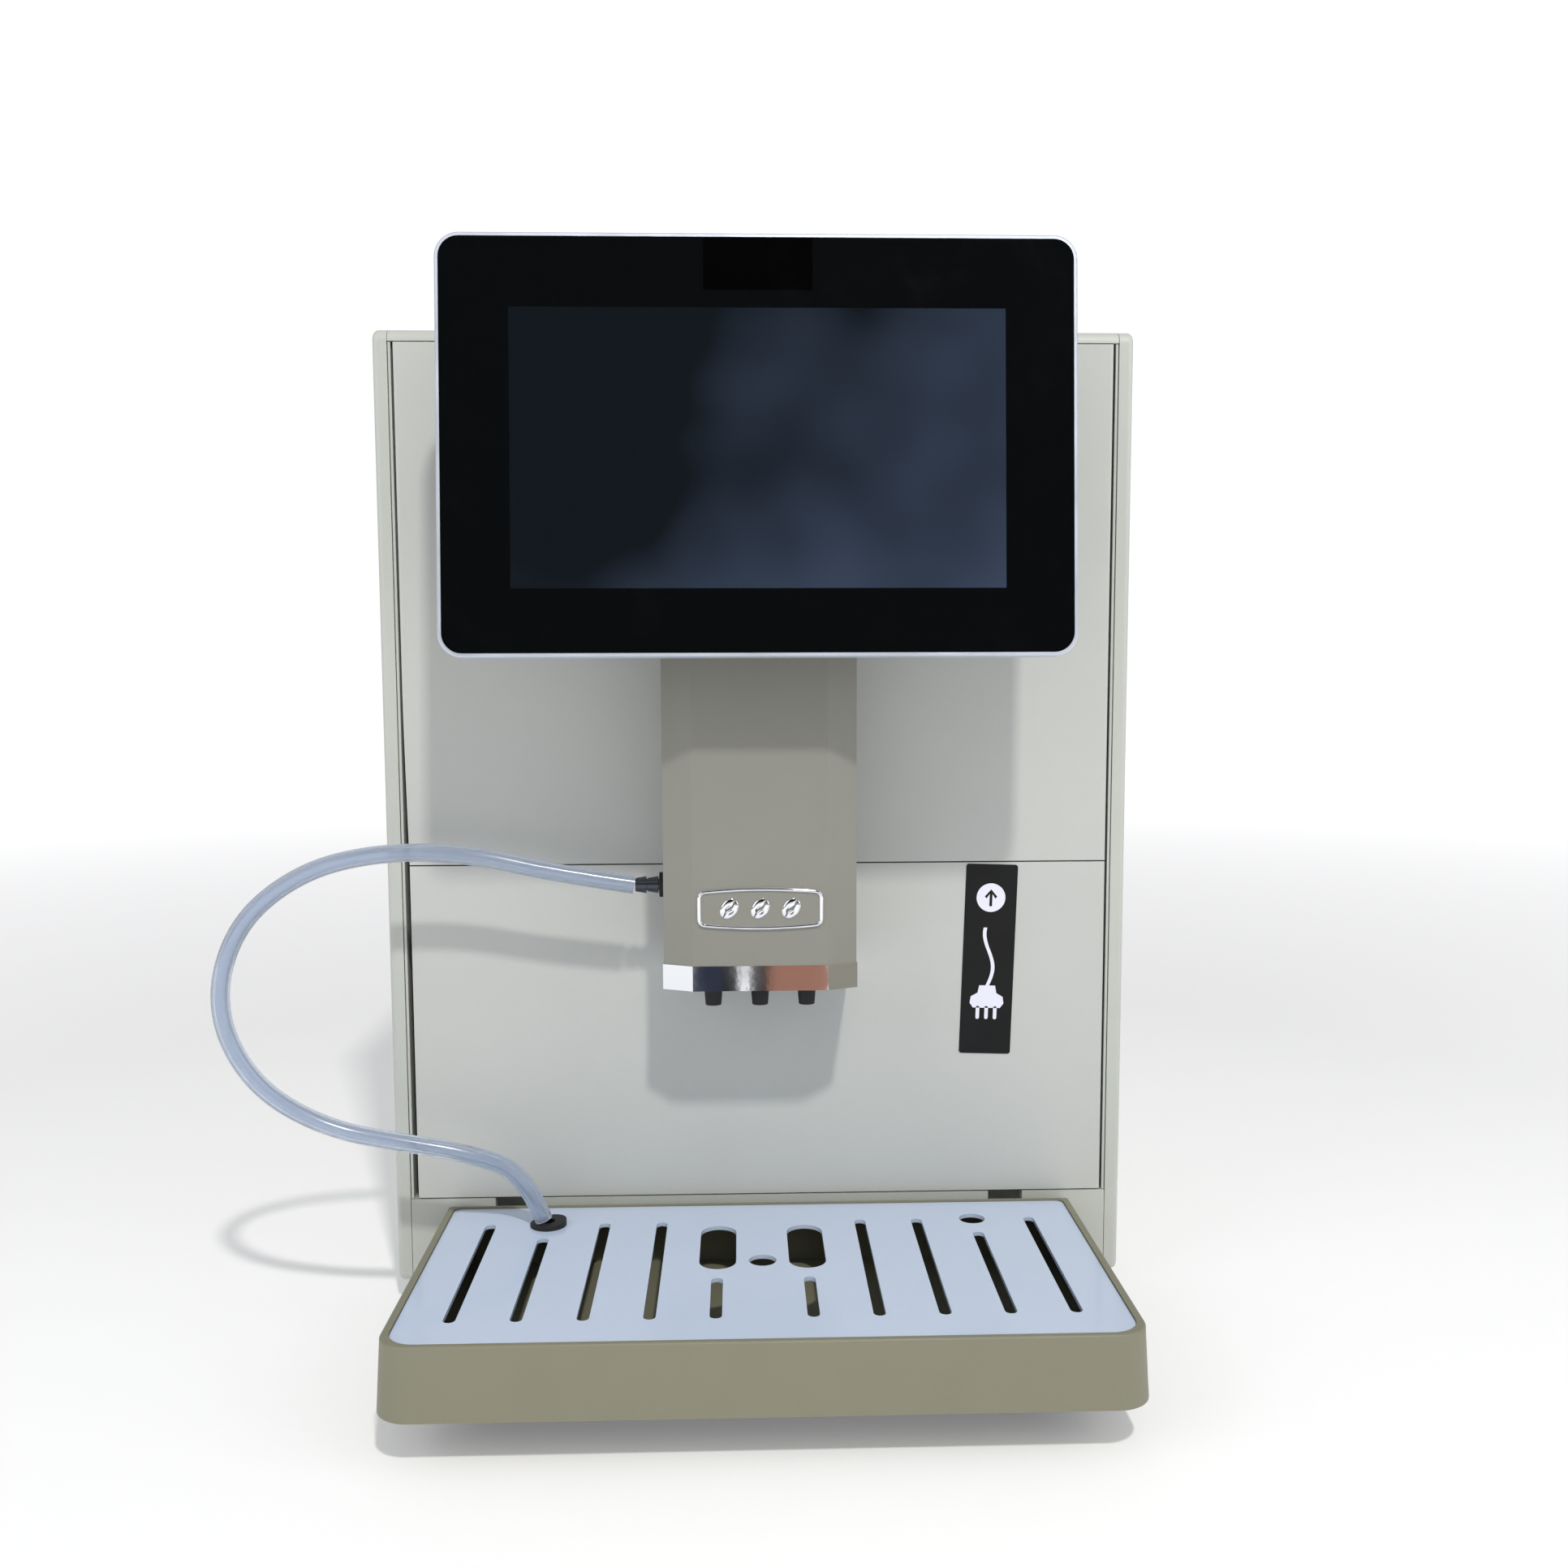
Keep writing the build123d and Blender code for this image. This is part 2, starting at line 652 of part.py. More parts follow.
def make_grinder_body():
    """Grinder housing: a thick cup with a shaft bore and a chute hole."""
    low = SHELF_Z + SHELF_SHEET
    cup = post(BREW_X, BREW_Y, low, GRIND_TOP, GRIND_R)
    cup -= post(BREW_X, BREW_Y, low + GRIND_FLOOR, GRIND_TOP + 1, GRIND_CAVITY_R)
    cup -= post(BREW_X, BREW_Y, low - 1, low + GRIND_FLOOR + 1, BURR_SHAFT_R + SHAFT_FIT)
    return cup - post(BREW_X - GRIND_CHUTE_X, BREW_Y, low - 1, low + GRIND_FLOOR + 1, GRIND_CHUTE_R)


def make_grinder_burr():
    """Turning burr disc on its shaft, with milled teeth."""
    base = SHELF_Z + SHELF_SHEET + GRIND_FLOOR + 6 * GAP
    disc = post(BREW_X, BREW_Y, base, base + BURR_T, BURR_R)
    disc += post(BREW_X, BREW_Y, SHELF_Z + SHELF_SHEET + 2, base + 1, BURR_SHAFT_R)
    for i in range(12):
        tooth = Pos(BURR_R / 2 + 5, 0, 0) * Box(BURR_R, 2.0, 3.0)
        disc -= Pos(BREW_X, FRONT_Y + BREW_Y, base + BURR_T) * Rot(0, 0, 30 * i) * tooth
    return disc


def hopper_form(shrink):
    """Outline of the bean hopper: a box over a tapered throat."""
    x0, x1, y0, y1 = HOPPER_MOUTH
    wide = block(x0 + shrink, x1 - shrink, y0 + shrink, y1 - shrink, HOPPER_BREAK_Z, HOPPER_RIM_Z)
    top = Pos((x0 + x1) / 2, FRONT_Y + (y0 + y1) / 2, HOPPER_BREAK_Z) * Rectangle(
        x1 - x0 - 2 * shrink, y1 - y0 - 2 * shrink)
    neck = 2 * (HOPPER_NECK_HALF - shrink)
    low = Pos(BREW_X, FRONT_Y + BREW_Y, GRIND_TOP + HOPPER_FLANGE_T) * Rectangle(neck, neck)
    return wide + loft([low, top])


def make_bean_hopper():
    """Clear bean hopper on the grinder, open at the top and at its throat."""
    outer = hopper_form(0)
    inner = hopper_form(HOPPER_WALL)
    x0, x1, y0, y1 = HOPPER_MOUTH
    w = HOPPER_WALL
    hopper = outer - inner - block(x0 + w, x1 - w, y0 + w, y1 - w, HOPPER_RIM_Z - 1, HOPPER_RIM_Z + 1)
    flange = post(BREW_X, BREW_Y, GRIND_TOP, GRIND_TOP + HOPPER_FLANGE_T, GRIND_R - 2)
    throat = HOPPER_NECK_HALF - HOPPER_WALL
    opening = block(BREW_X - throat, BREW_X + throat, BREW_Y - throat, BREW_Y + throat,
                    GRIND_TOP - 1, GRIND_TOP + HOPPER_FLANGE_T + 1)
    return hopper + (flange - opening)


def make_brew_frame():
    """Upright plate and bracket that carry the brewing chamber."""
    floor = CAB_BOTTOM + BASE_SHEET
    back = block(BREW_FRAME_X0, BREW_FRAME_X1, BREW_FRAME_Y, BREW_FRAME_Y + BREW_FRAME_T, floor, SHELF_Z)
    shelf = block(BREW_FRAME_X0, BREW_FRAME_X1, BREW_SHELF_FRONT, BREW_FRAME_Y, BREW_SHELF_Z,
                  BREW_SHELF_Z + BREW_FRAME_T)
    drop = post(BREW_X, BREW_Y, BREW_SHELF_Z - 1, BREW_SHELF_Z + BREW_FRAME_T + 1, CHAMBER_BORE_R - 6)
    top = block(SCREW_X - MOTOR_R, BREW_FRAME_X1, BREW_Y - MOTOR_R, BREW_FRAME_Y,
                SCREW_TOP - BREW_FRAME_T - 4, SCREW_TOP - 4)
    bearing = post(SCREW_X, BREW_Y, BREW_SHELF_Z, SCREW_TOP, SCREW_R + SHAFT_FIT)
    return back + shelf - drop + top - bearing


def make_brew_chamber():
    """Brewing cylinder with a sieve floor and an outlet boss."""
    low = BREW_SHELF_Z + BREW_FRAME_T
    body = post(BREW_X, BREW_Y, low, CHAMBER_TOP, CHAMBER_R)
    body -= post(BREW_X, BREW_Y, low + CHAMBER_FLOOR, CHAMBER_TOP + 1, CHAMBER_BORE_R)
    boss = bar_y(BREW_X, BREW_Y - CHAMBER_R - 6, BREW_Y - CHAMBER_BORE_R - 1, low + 14, 6)
    body += boss
    return body - bar_y(BREW_X, BREW_Y - CHAMBER_R - 7, BREW_Y - CHAMBER_BORE_R + 1, low + 14, PIPE_R + GAP)


def make_brew_piston():
    """Piston, stem and crosshead with the nut round the drive screw."""
    disc = post(BREW_X, BREW_Y, PISTON_REST, PISTON_REST + PISTON_T, PISTON_R)
    stem = post(BREW_X, BREW_Y, PISTON_REST + 1, CROSSHEAD_Z + CROSSHEAD_T, STEM_R)
    arm = block(BREW_X, SCREW_X, BREW_Y - STEM_R, BREW_Y + STEM_R, CROSSHEAD_Z, CROSSHEAD_Z + CROSSHEAD_T)
    nut = post(SCREW_X, BREW_Y, CROSSHEAD_Z, CROSSHEAD_Z + CROSSHEAD_T, NUT_R)
    bore = post(SCREW_X, BREW_Y, CROSSHEAD_Z - 1, CROSSHEAD_Z + CROSSHEAD_T + 1, SCREW_R + NUT_FIT)
    return disc + stem + arm + nut - bore


def make_drive_screw():
    """Upright screw with its gear; it turns to drive the piston."""
    screw = post(SCREW_X, BREW_Y, BREW_SHELF_Z + 0.5, SCREW_TOP - 1, SCREW_R)
    gear_low = SCREW_TOP - BREW_FRAME_T - 4 - GAP - SCREW_GEAR_T
    gear = post(SCREW_X, BREW_Y, gear_low, gear_low + SCREW_GEAR_T, SCREW_GEAR_R)
    for i in range(24):
        notch = Pos(SCREW_GEAR_R, 0, 0) * Box(4, 2.2, SCREW_GEAR_T + 2)
        place = Pos(SCREW_X, FRONT_Y + BREW_Y, gear_low + SCREW_GEAR_T / 2) * Rot(0, 0, 15 * i)
        gear -= place * notch
    return screw + gear


def make_brew_motor():
    """Geared motor above the drive screw, hung under the shelf."""
    low = SCREW_TOP - 4
    can = post(SCREW_X, BREW_Y, low, SHELF_Z, MOTOR_R)
    return can - post(SCREW_X, BREW_Y, low - 1, SCREW_TOP, SCREW_R + 1)


def make_grounds_bin():
    """Open bin under the brewer for spent coffee."""
    floor = CAB_BOTTOM + BASE_SHEET + GAP
    shell = box_shell(BIN_X0, BIN_X1, BIN_Y0, BIN_Y1, floor, BIN_TOP, BIN_WALL, BIN_WALL)
    grip = block(BIN_X0 + 40, BIN_X1 - 40, BIN_Y0 - 4, BIN_Y0 + 1, BIN_TOP - 18, BIN_TOP - 12)
    return shell + grip


def boiler(x, y, z0, z1):
    """Pressure vessel with domed edges, a heater flange and three legs."""
    floor = CAB_BOTTOM + BASE_SHEET
    can = fillet(post(x, y, z0, z1, BOILER_R).edges(), 8)
    can += post(x, y, z1 - 1, z1 + 6, BOILER_R / 2)
    for i in range(BOILER_LEG_COUNT):
        turn = math.radians(360 / BOILER_LEG_COUNT * i + 30)
        reach = BOILER_R - BOILER_LEG_IN
        can += post(x + reach * math.cos(turn), y + reach * math.sin(turn), floor, z0 + 4, BOILER_LEG_R)
    return can


def make_coffee_boiler():
    """Coffee water boiler."""
    return boiler(BOILER_X, BOILER_Y, BOILER_Z0, BOILER_Z1)


def make_steam_boiler():
    """Steam boiler for milk."""
    return boiler(BOILER_X, STEAM_Y, BOILER_Z0, STEAM_Z1)


def make_pump():
    """Vibration pump on a saddle."""
    floor = CAB_BOTTOM + BASE_SHEET
    z = floor + PUMP_R + 8
    body = bar_y(PUMP_X, PUMP_Y0, PUMP_Y1, z, PUMP_R)
    body += block(PUMP_X - PUMP_R - 4, PUMP_X + PUMP_R + 4, PUMP_Y0 + 15, PUMP_Y1 - 15, floor, z - 8)
    return body + bar_y(PUMP_X, PUMP_Y0 - 12, PUMP_Y0 + 1, z, 5)


def pipe_run(points):
    """Pipe of straight runs with a round knee at each corner."""
    parts = []
    for a, b in zip(points[:-1], points[1:]):
        start = Vector(a[0], FRONT_Y + a[1], a[2])
        run = Vector(b[0], FRONT_Y + b[1], b[2]) - start
        parts.append(extrude(Plane(origin=start, z_dir=run) * Circle(PIPE_R), run.length))
    for knee in points[1:-1]:
        parts.append(Pos(knee[0], FRONT_Y + knee[1], knee[2]) * Sphere(PIPE_R))
    return joined(parts)


def make_water_pipes():
    """Pipe from the pump up over the boilers to the coffee boiler's cap."""
    z = CAB_BOTTOM + BASE_SHEET + PUMP_R + 8
    start = PUMP_Y0 - 12
    side = PUMP_X - 50
    cap = BOILER_Z1 + 6
    return pipe_run([
        (PUMP_X, start, z), (PUMP_X, start - 8, z), (side, start - 14, z + 30), (side, STEAM_Y, 200.0),
        (side, BOILER_Y + 4, cap + 18), (BOILER_X, BOILER_Y, cap + 24), (BOILER_X, BOILER_Y, cap),
    ])


def make_outlet_pipe():
    """Coffee pipe from the chamber towards the back of the door."""
    low = BREW_SHELF_Z + BREW_FRAME_T + 14
    return pipe_run([
        (BREW_X, BREW_Y - CHAMBER_BORE_R - 3, low), (BREW_X, 46.0, low), (BREW_X, 40.0, low + 60),
        (0.0, 36.0, 270.0), (0.0, 24.0, 272.0),
    ])


def make_water_tank():
    """Open-topped water tank on the shelf."""
    low = SHELF_Z + SHELF_SHEET + GAP
    tank = box_shell(TANK_X0, TANK_X1, TANK_Y0, TANK_Y1, low, TANK_TOP, TANK_WALL, TANK_WALL)
    corners = tank.edges().filter_by(Axis.Z)
    outer = corners.sort_by(lambda e: -abs(e.center().X - (TANK_X0 + TANK_X1) / 2)
                            - abs(e.center().Y - FRONT_Y - (TANK_Y0 + TANK_Y1) / 2))[:4]
    return fillet(outer, TANK_WALL * 2)


def make_power_supply():
    """Boxed power supply on the floor pan."""
    floor = CAB_BOTTOM + BASE_SHEET
    case = block(PSU_X0, PSU_X1, PSU_Y0, PSU_Y1, floor, floor + PSU_H)
    for i in range(8):
        x = PSU_X0 + 14 + i * 11
        case -= block(x, x + 4, PSU_Y0 + 12, PSU_Y1 - 12, floor + PSU_H - 2, floor + PSU_H + 1)
    return case


def make_control_board():
    """Circuit board on four standoffs inside the left side panel."""
    x0 = -INNER + STANDOFF
    board = block(x0, x0 + BOARD_T, BOARD_Y0, BOARD_Y1, BOARD_Z0, BOARD_Z1)
    for y in (BOARD_Y0 + 8, BOARD_Y1 - 8):
        for z in (BOARD_Z0 + 8, BOARD_Z1 - 8):
            board += bar_x(-INNER, x0 + 1, y, z, 3)
    for y, z, w, h, t in ((85, 200, 26, 26, 3), (130, 205, 34, 16, 12), (160, 270, 20, 40, 9), (90, 270, 16, 40, 11)):
        board += block(x0 + BOARD_T - 0.5, x0 + BOARD_T + t, y - w / 2, y + w / 2, z - h / 2, z + h / 2)
    return board


def make_valve_block():
    """Solenoid valve block clamped to the brewer frame."""
    y = BREW_FRAME_Y + BREW_FRAME_T
    body = block(-100, -40, y, y + 30, 200, 226)
    for x in (-85, -55):
        body += post(x, y + 15, 225, 262, 11)
    return body


def make_fan_frame():
    """Square fan housing behind the rear grille with its hub spider."""
    y1 = CAB_DEPTH - BACK_SHEET
    y0 = y1 - FAN_T
    frame = block(FAN_X - FAN_HALF, FAN_X + FAN_HALF, y0, y1, FAN_Z - FAN_HALF, FAN_Z + FAN_HALF)
    frame -= bar_y(FAN_X, y0 - 1, y1 + 1, FAN_Z, FAN_BORE_R)
    spider = bar_y(FAN_X, y0, y0 + 3, FAN_Z, FAN_HUB_R - 2)
    spider += block(FAN_X - FAN_BORE_R - 1, FAN_X + FAN_BORE_R + 1, y0, y0 + 3, FAN_Z - 2, FAN_Z + 2)
    spider += block(FAN_X - 2, FAN_X + 2, y0, y0 + 3, FAN_Z - FAN_BORE_R - 1, FAN_Z + FAN_BORE_R + 1)
    spider += bar_y(FAN_X, y0 + 2, y0 + 14, FAN_Z, FAN_SHAFT_R)
    return frame + spider


def make_fan_rotor():
    """Fan hub with twisted blades."""
    y0 = CAB_DEPTH - BACK_SHEET - FAN_T + 4
    rotor = bar_y(FAN_X, y0, y0 + 13, FAN_Z, FAN_HUB_R)
    for i in range(FAN_BLADES):
        blade = Pos(0, 0, (FAN_BORE_R + FAN_HUB_R) / 2 - 2) * Rot(0, 0, 35) * Box(14, 1.6, FAN_BORE_R - FAN_HUB_R - 0.5)
        rotor += Pos(FAN_X, FRONT_Y + y0 + 6.5, FAN_Z) * Rot(0, 360 / FAN_BLADES * i, 0) * blade
    return rotor - bar_y(FAN_X, y0 - 1, y0 + 10.5, FAN_Z, FAN_SHAFT_R + SHAFT_FIT)


def make_mains_inlet():
    """Appliance inlet socket with three blades."""
    y1 = CAB_DEPTH
    x0, x1 = INLET_X - INLET_W / 2, INLET_X + INLET_W / 2
    z0, z1 = INLET_Z - INLET_H / 2, INLET_Z + INLET_H / 2
    body = block(x0, x1, y1 - INLET_DEPTH, y1, z0, z1)
    body -= block(x0 + 2, x1 - 2, y1 - INLET_DEPTH + 4, y1 + 1, z0 + 2, z1 - 2)
    ear = block(x0 - 8, x1 + 8, y1 - BACK_SHEET - 2, y1 - BACK_SHEET, z0, z1)
    body += ear - block(x0 + 1, x1 - 1, y1 - BACK_SHEET - 3, y1, z0 + 1, z1 - 1)
    for x in (-7, 0, 7):
        body += block(INLET_X + x - 1, INLET_X + x + 1, y1 - INLET_DEPTH + 3, y1 - 4, INLET_Z - 2, INLET_Z + 2)
    return body


def make_switch_bezel():
    """Frame of the power switch, set flush into the left panel."""
    half_w = SWITCH_W / 2 + SWITCH_FRAME
    half_h = SWITCH_H / 2 + SWITCH_FRAME
    flange = block(-HALF, -HALF + SWITCH_FRAME, SWITCH_Y - half_w, SWITCH_Y + half_w,
                   SWITCH_Z - half_h, SWITCH_Z + half_h)
    inset = 0.8 + GAP
    case = block(-HALF, -HALF + SWITCH_DEPTH + 4, SWITCH_Y - half_w + inset, SWITCH_Y + half_w - inset,
                 SWITCH_Z - half_h + inset, SWITCH_Z + half_h - inset)
    well = block(-HALF - 1, -HALF + SWITCH_DEPTH, SWITCH_Y - SWITCH_W / 2, SWITCH_Y + SWITCH_W / 2,
                 SWITCH_Z - SWITCH_H / 2, SWITCH_Z + SWITCH_H / 2)
    pin = bar_y(-HALF + ROCKER_PIVOT_IN, SWITCH_Y - SWITCH_W / 2 - 1, SWITCH_Y + SWITCH_W / 2 + 1,
                SWITCH_Z, ROCKER_PIN_R)
    return flange + case - well + pin


def make_power_rocker():
    """Rocker of the power switch, turned to its off side."""
    half_w = SWITCH_W / 2 - GAP
    x = -HALF + ROCKER_PIVOT_IN
    body = bar_y(x, SWITCH_Y - half_w, SWITCH_Y + half_w, SWITCH_Z, ROCKER_PIVOT_IN - 1.2)
    body = body & block(-HALF, x + 4, SWITCH_Y - half_w, SWITCH_Y + half_w, SWITCH_Z - 12, SWITCH_Z + 12)
    return body - bar_y(x, SWITCH_Y - SWITCH_W, SWITCH_Y + SWITCH_W, SWITCH_Z, ROCKER_PIN_R + SHAFT_FIT)


# ---------------- door ----------------

def make_door_frame():
    """Moulded door pan behind the two skins, with ribs and hinge lugs."""
    left = -DOOR_HALF + FRAME_LEFT_IN
    right = DOOR_HALF - GAP
    low = DOOR_BOTTOM + GAP
    high = DOOR_TOP - GAP
    wall = FRAME_WALL
    front = SKIN
    frame = block(left, right, front, DOOR_DEPTH, low, high)
    frame -= block(left + wall, right - wall, front + wall, DOOR_DEPTH + 1, low + wall, high - wall)
    for z in (SEAM_Z, SEAM_Z + 120, SEAM_Z - 90):
        frame += block(left + 1, right - 1, front, DOOR_DEPTH, z - wall / 2, z + wall / 2)
    for x in (-100, 100):
        frame += block(x - wall / 2, x + wall / 2, front, DOOR_DEPTH, low + 1, high - 1)
    lug = HINGE_LUG_HALF
    for z0, z1 in ((low, low + HINGE_PIN_DEPTH + wall), (high - HINGE_PIN_DEPTH - wall, high)):
        frame += block(HINGE_X - lug, HINGE_X + lug, front, HINGE_Y + lug, z0, z1)
    frame -= post(HINGE_X, HINGE_Y, low - 1, DOOR_BOTTOM + HINGE_PIN_DEPTH + GAP, HINGE_PIN_R + HINGE_FIT)
    frame -= post(HINGE_X, HINGE_Y, DOOR_TOP - HINGE_PIN_DEPTH - GAP, high + 1, HINGE_PIN_R + HINGE_FIT)
    return frame - block(-FEED_SLOT_HALF, FEED_SLOT_HALF, 0, DOOR_DEPTH + 1, FEED_SLOT_BOTTOM, FEED_SLOT_TOP)


def skin_panel(z0, z1):
    """Flat skin with its upright front edges rounded."""
    panel = block(-DOOR_HALF, DOOR_HALF, 0, SKIN, z0, z1)
    edges = panel.edges().filter_by(Axis.Z).sort_by(Axis.Y)[:2]
    return fillet(edges, SKIN_EDGE_R)


def finger_relief():
    """Cutter for the narrow tapering finger gap down the door's left edge."""
    x = -DOOR_HALF
    outline = [(x - 1, DOOR_BOTTOM - 1), (x + FINGER_GAP, DOOR_BOTTOM - 1), (x + FINGER_GAP, SEAM_Z),
               (x, FINGER_GAP_TOP), (x - 1, FINGER_GAP_TOP)]
    face = make_face(Polyline([(px, FRONT_Y - 1, pz) for px, pz in outline], close=True))
    return extrude(face, SKIN + 2, dir=(0, 1, 0))


def make_upper_panel():
    """Upper door skin with the feed slot hidden behind the spout."""
    panel = skin_panel(SEAM_Z + SEAM_GAP / 2, DOOR_TOP) - finger_relief()
    return panel - block(-FEED_SLOT_HALF, FEED_SLOT_HALF, -1, SKIN + 1, FEED_SLOT_BOTTOM, FEED_SLOT_TOP)


def make_lower_panel():
    """Lower door skin."""
    return skin_panel(DOOR_BOTTOM, SEAM_Z - SEAM_GAP / 2) - finger_relief()


def make_instruction_label():
    """Thin label stuck a little askew under the seam."""
    sheet = Box(LABEL_W, LABEL_T, LABEL_H)
    middle = LABEL_TOP - LABEL_H / 2 - 0.6
    return Pos(LABEL_X, FRONT_Y - LABEL_T / 2, middle) * Rot(0, LABEL_TURN, 0) * sheet


def on_screen(solid):
    """Move a solid drawn round the active area's centre into its tilted place."""
    return Pos(0, FRONT_Y + SCREEN_Y, SCREEN_Z) * Rot(-SCREEN_TILT, 0, 0) * solid


def screen_plate(grow, y0, y1, radius):
    """Rounded plate in the screen's own frame; y0 is nearer the viewer."""
    width = GLASS_W + 2 * grow
    height = GLASS_UP + GLASS_DOWN + 2 * grow
    outline = Pos(0, y1, (GLASS_UP - GLASS_DOWN) / 2) * Rot(90, 0, 0) * RectangleRounded(width, height, radius)
    return extrude(outline, y1 - y0)


def make_touch_glass():
    """Black touch glass."""
    return on_screen(screen_plate(0, 0, GLASS_T, GLASS_R))


def make_screen_frame():
    """Aluminium frame round the glass, chamfered towards the back."""
    ring = screen_plate(LIP, 0, BEZEL_DEPTH, GLASS_R + LIP)
    ring = chamfer(ring.faces().sort_by(Axis.Y)[0].edges(), LIP_CHAMFER)
    ring -= screen_plate(GAP / 2, -1, GLASS_T, GLASS_R + GAP / 2)
    ring -= screen_plate(-BEZEL_WALL, -1, BEZEL_DEPTH + 1, GLASS_R - BEZEL_WALL)
    return on_screen(ring)


def make_display_module():
    """Display module behind the glass, on the rear shell's posts."""
    width, height = ACTIVE_W + 2 * LCD_BORDER, ACTIVE_H + 2 * LCD_BORDER
    slab = Pos(0, GLASS_T + LCD_T / 2, 0) * Box(width, LCD_T, height)
    return on_screen(slab)


def make_screen_shell():
    """Rear housing of the screen with vents."""
    shell = screen_plate(LIP - SHELL_IN, BEZEL_DEPTH, SHELL_DEPTH, GLASS_R)
    shell = chamfer(shell.faces().sort_by(Axis.Y)[-1].edges(), 4.0)
    shell -= screen_plate(LIP - SHELL_IN - SHELL_WALL, BEZEL_DEPTH - 1, SHELL_DEPTH - SHELL_WALL, GLASS_R - SHELL_WALL)
    for x in (-90, 90):
        for z in (-40, 40):
            depth = SHELL_DEPTH - SHELL_WALL - GLASS_T - LCD_T
            middle = GLASS_T + LCD_T + depth / 2
            shell += Pos(x, middle + 0.5, z) * Rot(90, 0, 0) * Cylinder(4, depth + 1)
    for i in range(VENT_COUNT):
        z = -50 + i * VENT_PITCH / 1.5
        shell -= Pos(100, SHELL_DEPTH, z) * Box(VENT_LENGTH, 8, 2.0)
        shell -= Pos(-100, SHELL_DEPTH, z) * Box(VENT_LENGTH, 8, 2.0)
    return on_screen(shell)


def make_screen_bracket():
    """Arm between the door and the back of the screen."""
    arm = block(-BRACKET_HALF, BRACKET_HALF, -80, 0, BRACKET_Z0, BRACKET_Z1)
    wall = BRACKET_WALL
    arm -= block(-BRACKET_HALF + wall, BRACKET_HALF - wall, -81, 1, BRACKET_Z0 - 1, BRACKET_Z1 - wall)
    plate = block(-BRACKET_PLATE_HALF, BRACKET_PLATE_HALF, -BRACKET_PLATE_T, 0, BRACKET_Z0, BRACKET_Z1)
    reach = on_screen(Pos(0, SHELL_DEPTH - 100, 0) * Box(GLASS_W, 200, 2 * GLASS_W))
    bracket = arm + plate - reach
    for x in (-BRACKET_SCREW_X, BRACKET_SCREW_X):
        z = (BRACKET_Z0 + BRACKET_Z1) / 2
        bracket += bar_y(x, -BRACKET_PLATE_T - 2, -BRACKET_PLATE_T + 0.5, z, BRACKET_SCREW_R)
    return bracket


def make_spout_rail():
    """T-shaped slide rail on the door for the spout."""
    web = block(-RAIL_WEB_HALF, RAIL_WEB_HALF, -RAIL_REACH, 0, RAIL_BOTTOM, RAIL_TOP)
    head = block(-RAIL_HEAD_HALF, RAIL_HEAD_HALF, -RAIL_REACH, -RAIL_REACH + RAIL_HEAD_T, RAIL_BOTTOM, RAIL_TOP)
    return web + head


# ---------------- spout ----------------

def spout_outline(grow, back):
    """Plan of the spout: flat front, two chamfers, straight sides."""
    flat = SPOUT_FLAT_HALF + grow * 0.4
    half = SPOUT_HALF + grow
    front = FRONT_Y + SPOUT_FRONT - grow
    corner = FRONT_Y + SPOUT_CHAMFER_Y - grow * 0.4
    rear = FRONT_Y + back
    pts = [(-flat, front), (flat, front), (half, corner), (half, rear), (-half, rear), (-half, corner)]
    return make_face(Polyline(pts, close=True))


def spout_prism(grow, back, z0, z1):
    """Upright prism of the spout's plan."""
    return extrude(Pos(0, 0, z0) * spout_outline(grow, back), z1 - z0)


def make_spout_cover():
    """Taupe sliding cover, open to the door and at the bottom."""
    cover = spout_prism(0, SPOUT_BACK, COVER_LOW, SPOUT_TOP)
    inner_top = SPOUT_TOP - SPOUT_WALL
    cover -= spout_prism(-SPOUT_WALL, 1, COVER_LOW - 1, inner_top)
    cover -= block(-RAIL_HEAD_HALF - 2, RAIL_HEAD_HALF + 2, -RAIL_REACH - 2, 1, inner_top - 1, SPOUT_TOP + 1)
    return cover - bar_x(-SPOUT_HALF - 1, -SPOUT_HALF + SPOUT_WALL + 1, FIT_Y, FIT_Z, FIT_SHANK_R + GAP / 2)


def make_spout_tip():
    """Chrome band at the foot of the spout with a collar inside the cover."""
    band = spout_prism(TIP_OUT, SPOUT_BACK, TIP_LOW, COVER_LOW)
    band -= spout_prism(TIP_OUT - TIP_WALL, SPOUT_BACK - TIP_WALL, TIP_LOW - 1, COVER_LOW + 1)
    collar = spout_prism(-SPOUT_WALL - GAP, SPOUT_BACK - 2, COVER_LOW - 3, COVER_LOW + TIP_COLLAR)
    collar -= spout_prism(-SPOUT_WALL - GAP - TIP_WALL, SPOUT_BACK - 2 - TIP_WALL, COVER_LOW - 4,
                          COVER_LOW + TIP_COLLAR + 1)
    link = spout_prism(TIP_OUT - TIP_WALL + 0.5, SPOUT_BACK - 1, COVER_LOW - 3, COVER_LOW)
    link -= spout_prism(-SPOUT_WALL - GAP - TIP_WALL, SPOUT_BACK - 2 - TIP_WALL, COVER_LOW - 4, COVER_LOW + 1)
    return band + collar + link


def nozzle_spots():
    """X positions of the three outlets."""
    return (-NOZZLE_PITCH, 0.0, NOZZLE_PITCH)


def make_spout_manifold():
    """Outlet block inside the tip with its upright feed pipe."""
    inset = -SPOUT_WALL - 2 * GAP - TIP_WALL
    low = TIP_LOW + 0.4
    body = spout_prism(inset, SPOUT_BACK - 4 - TIP_WALL, low, low + MANIFOLD_H)
    for x in nozzle_spots():
        body -= post(x, NOZZLE_Y, low - 1, low + 6, NOZZLE_STEM_R)
    pipe = post(0, NOZZLE_Y, low + 7, FEED_PIPE_TOP, FEED_PIPE_R)
    pipe -= post(0, NOZZLE_Y, low + 8, FEED_PIPE_TOP + 1, FEED_PIPE_BORE)
    return body + pipe


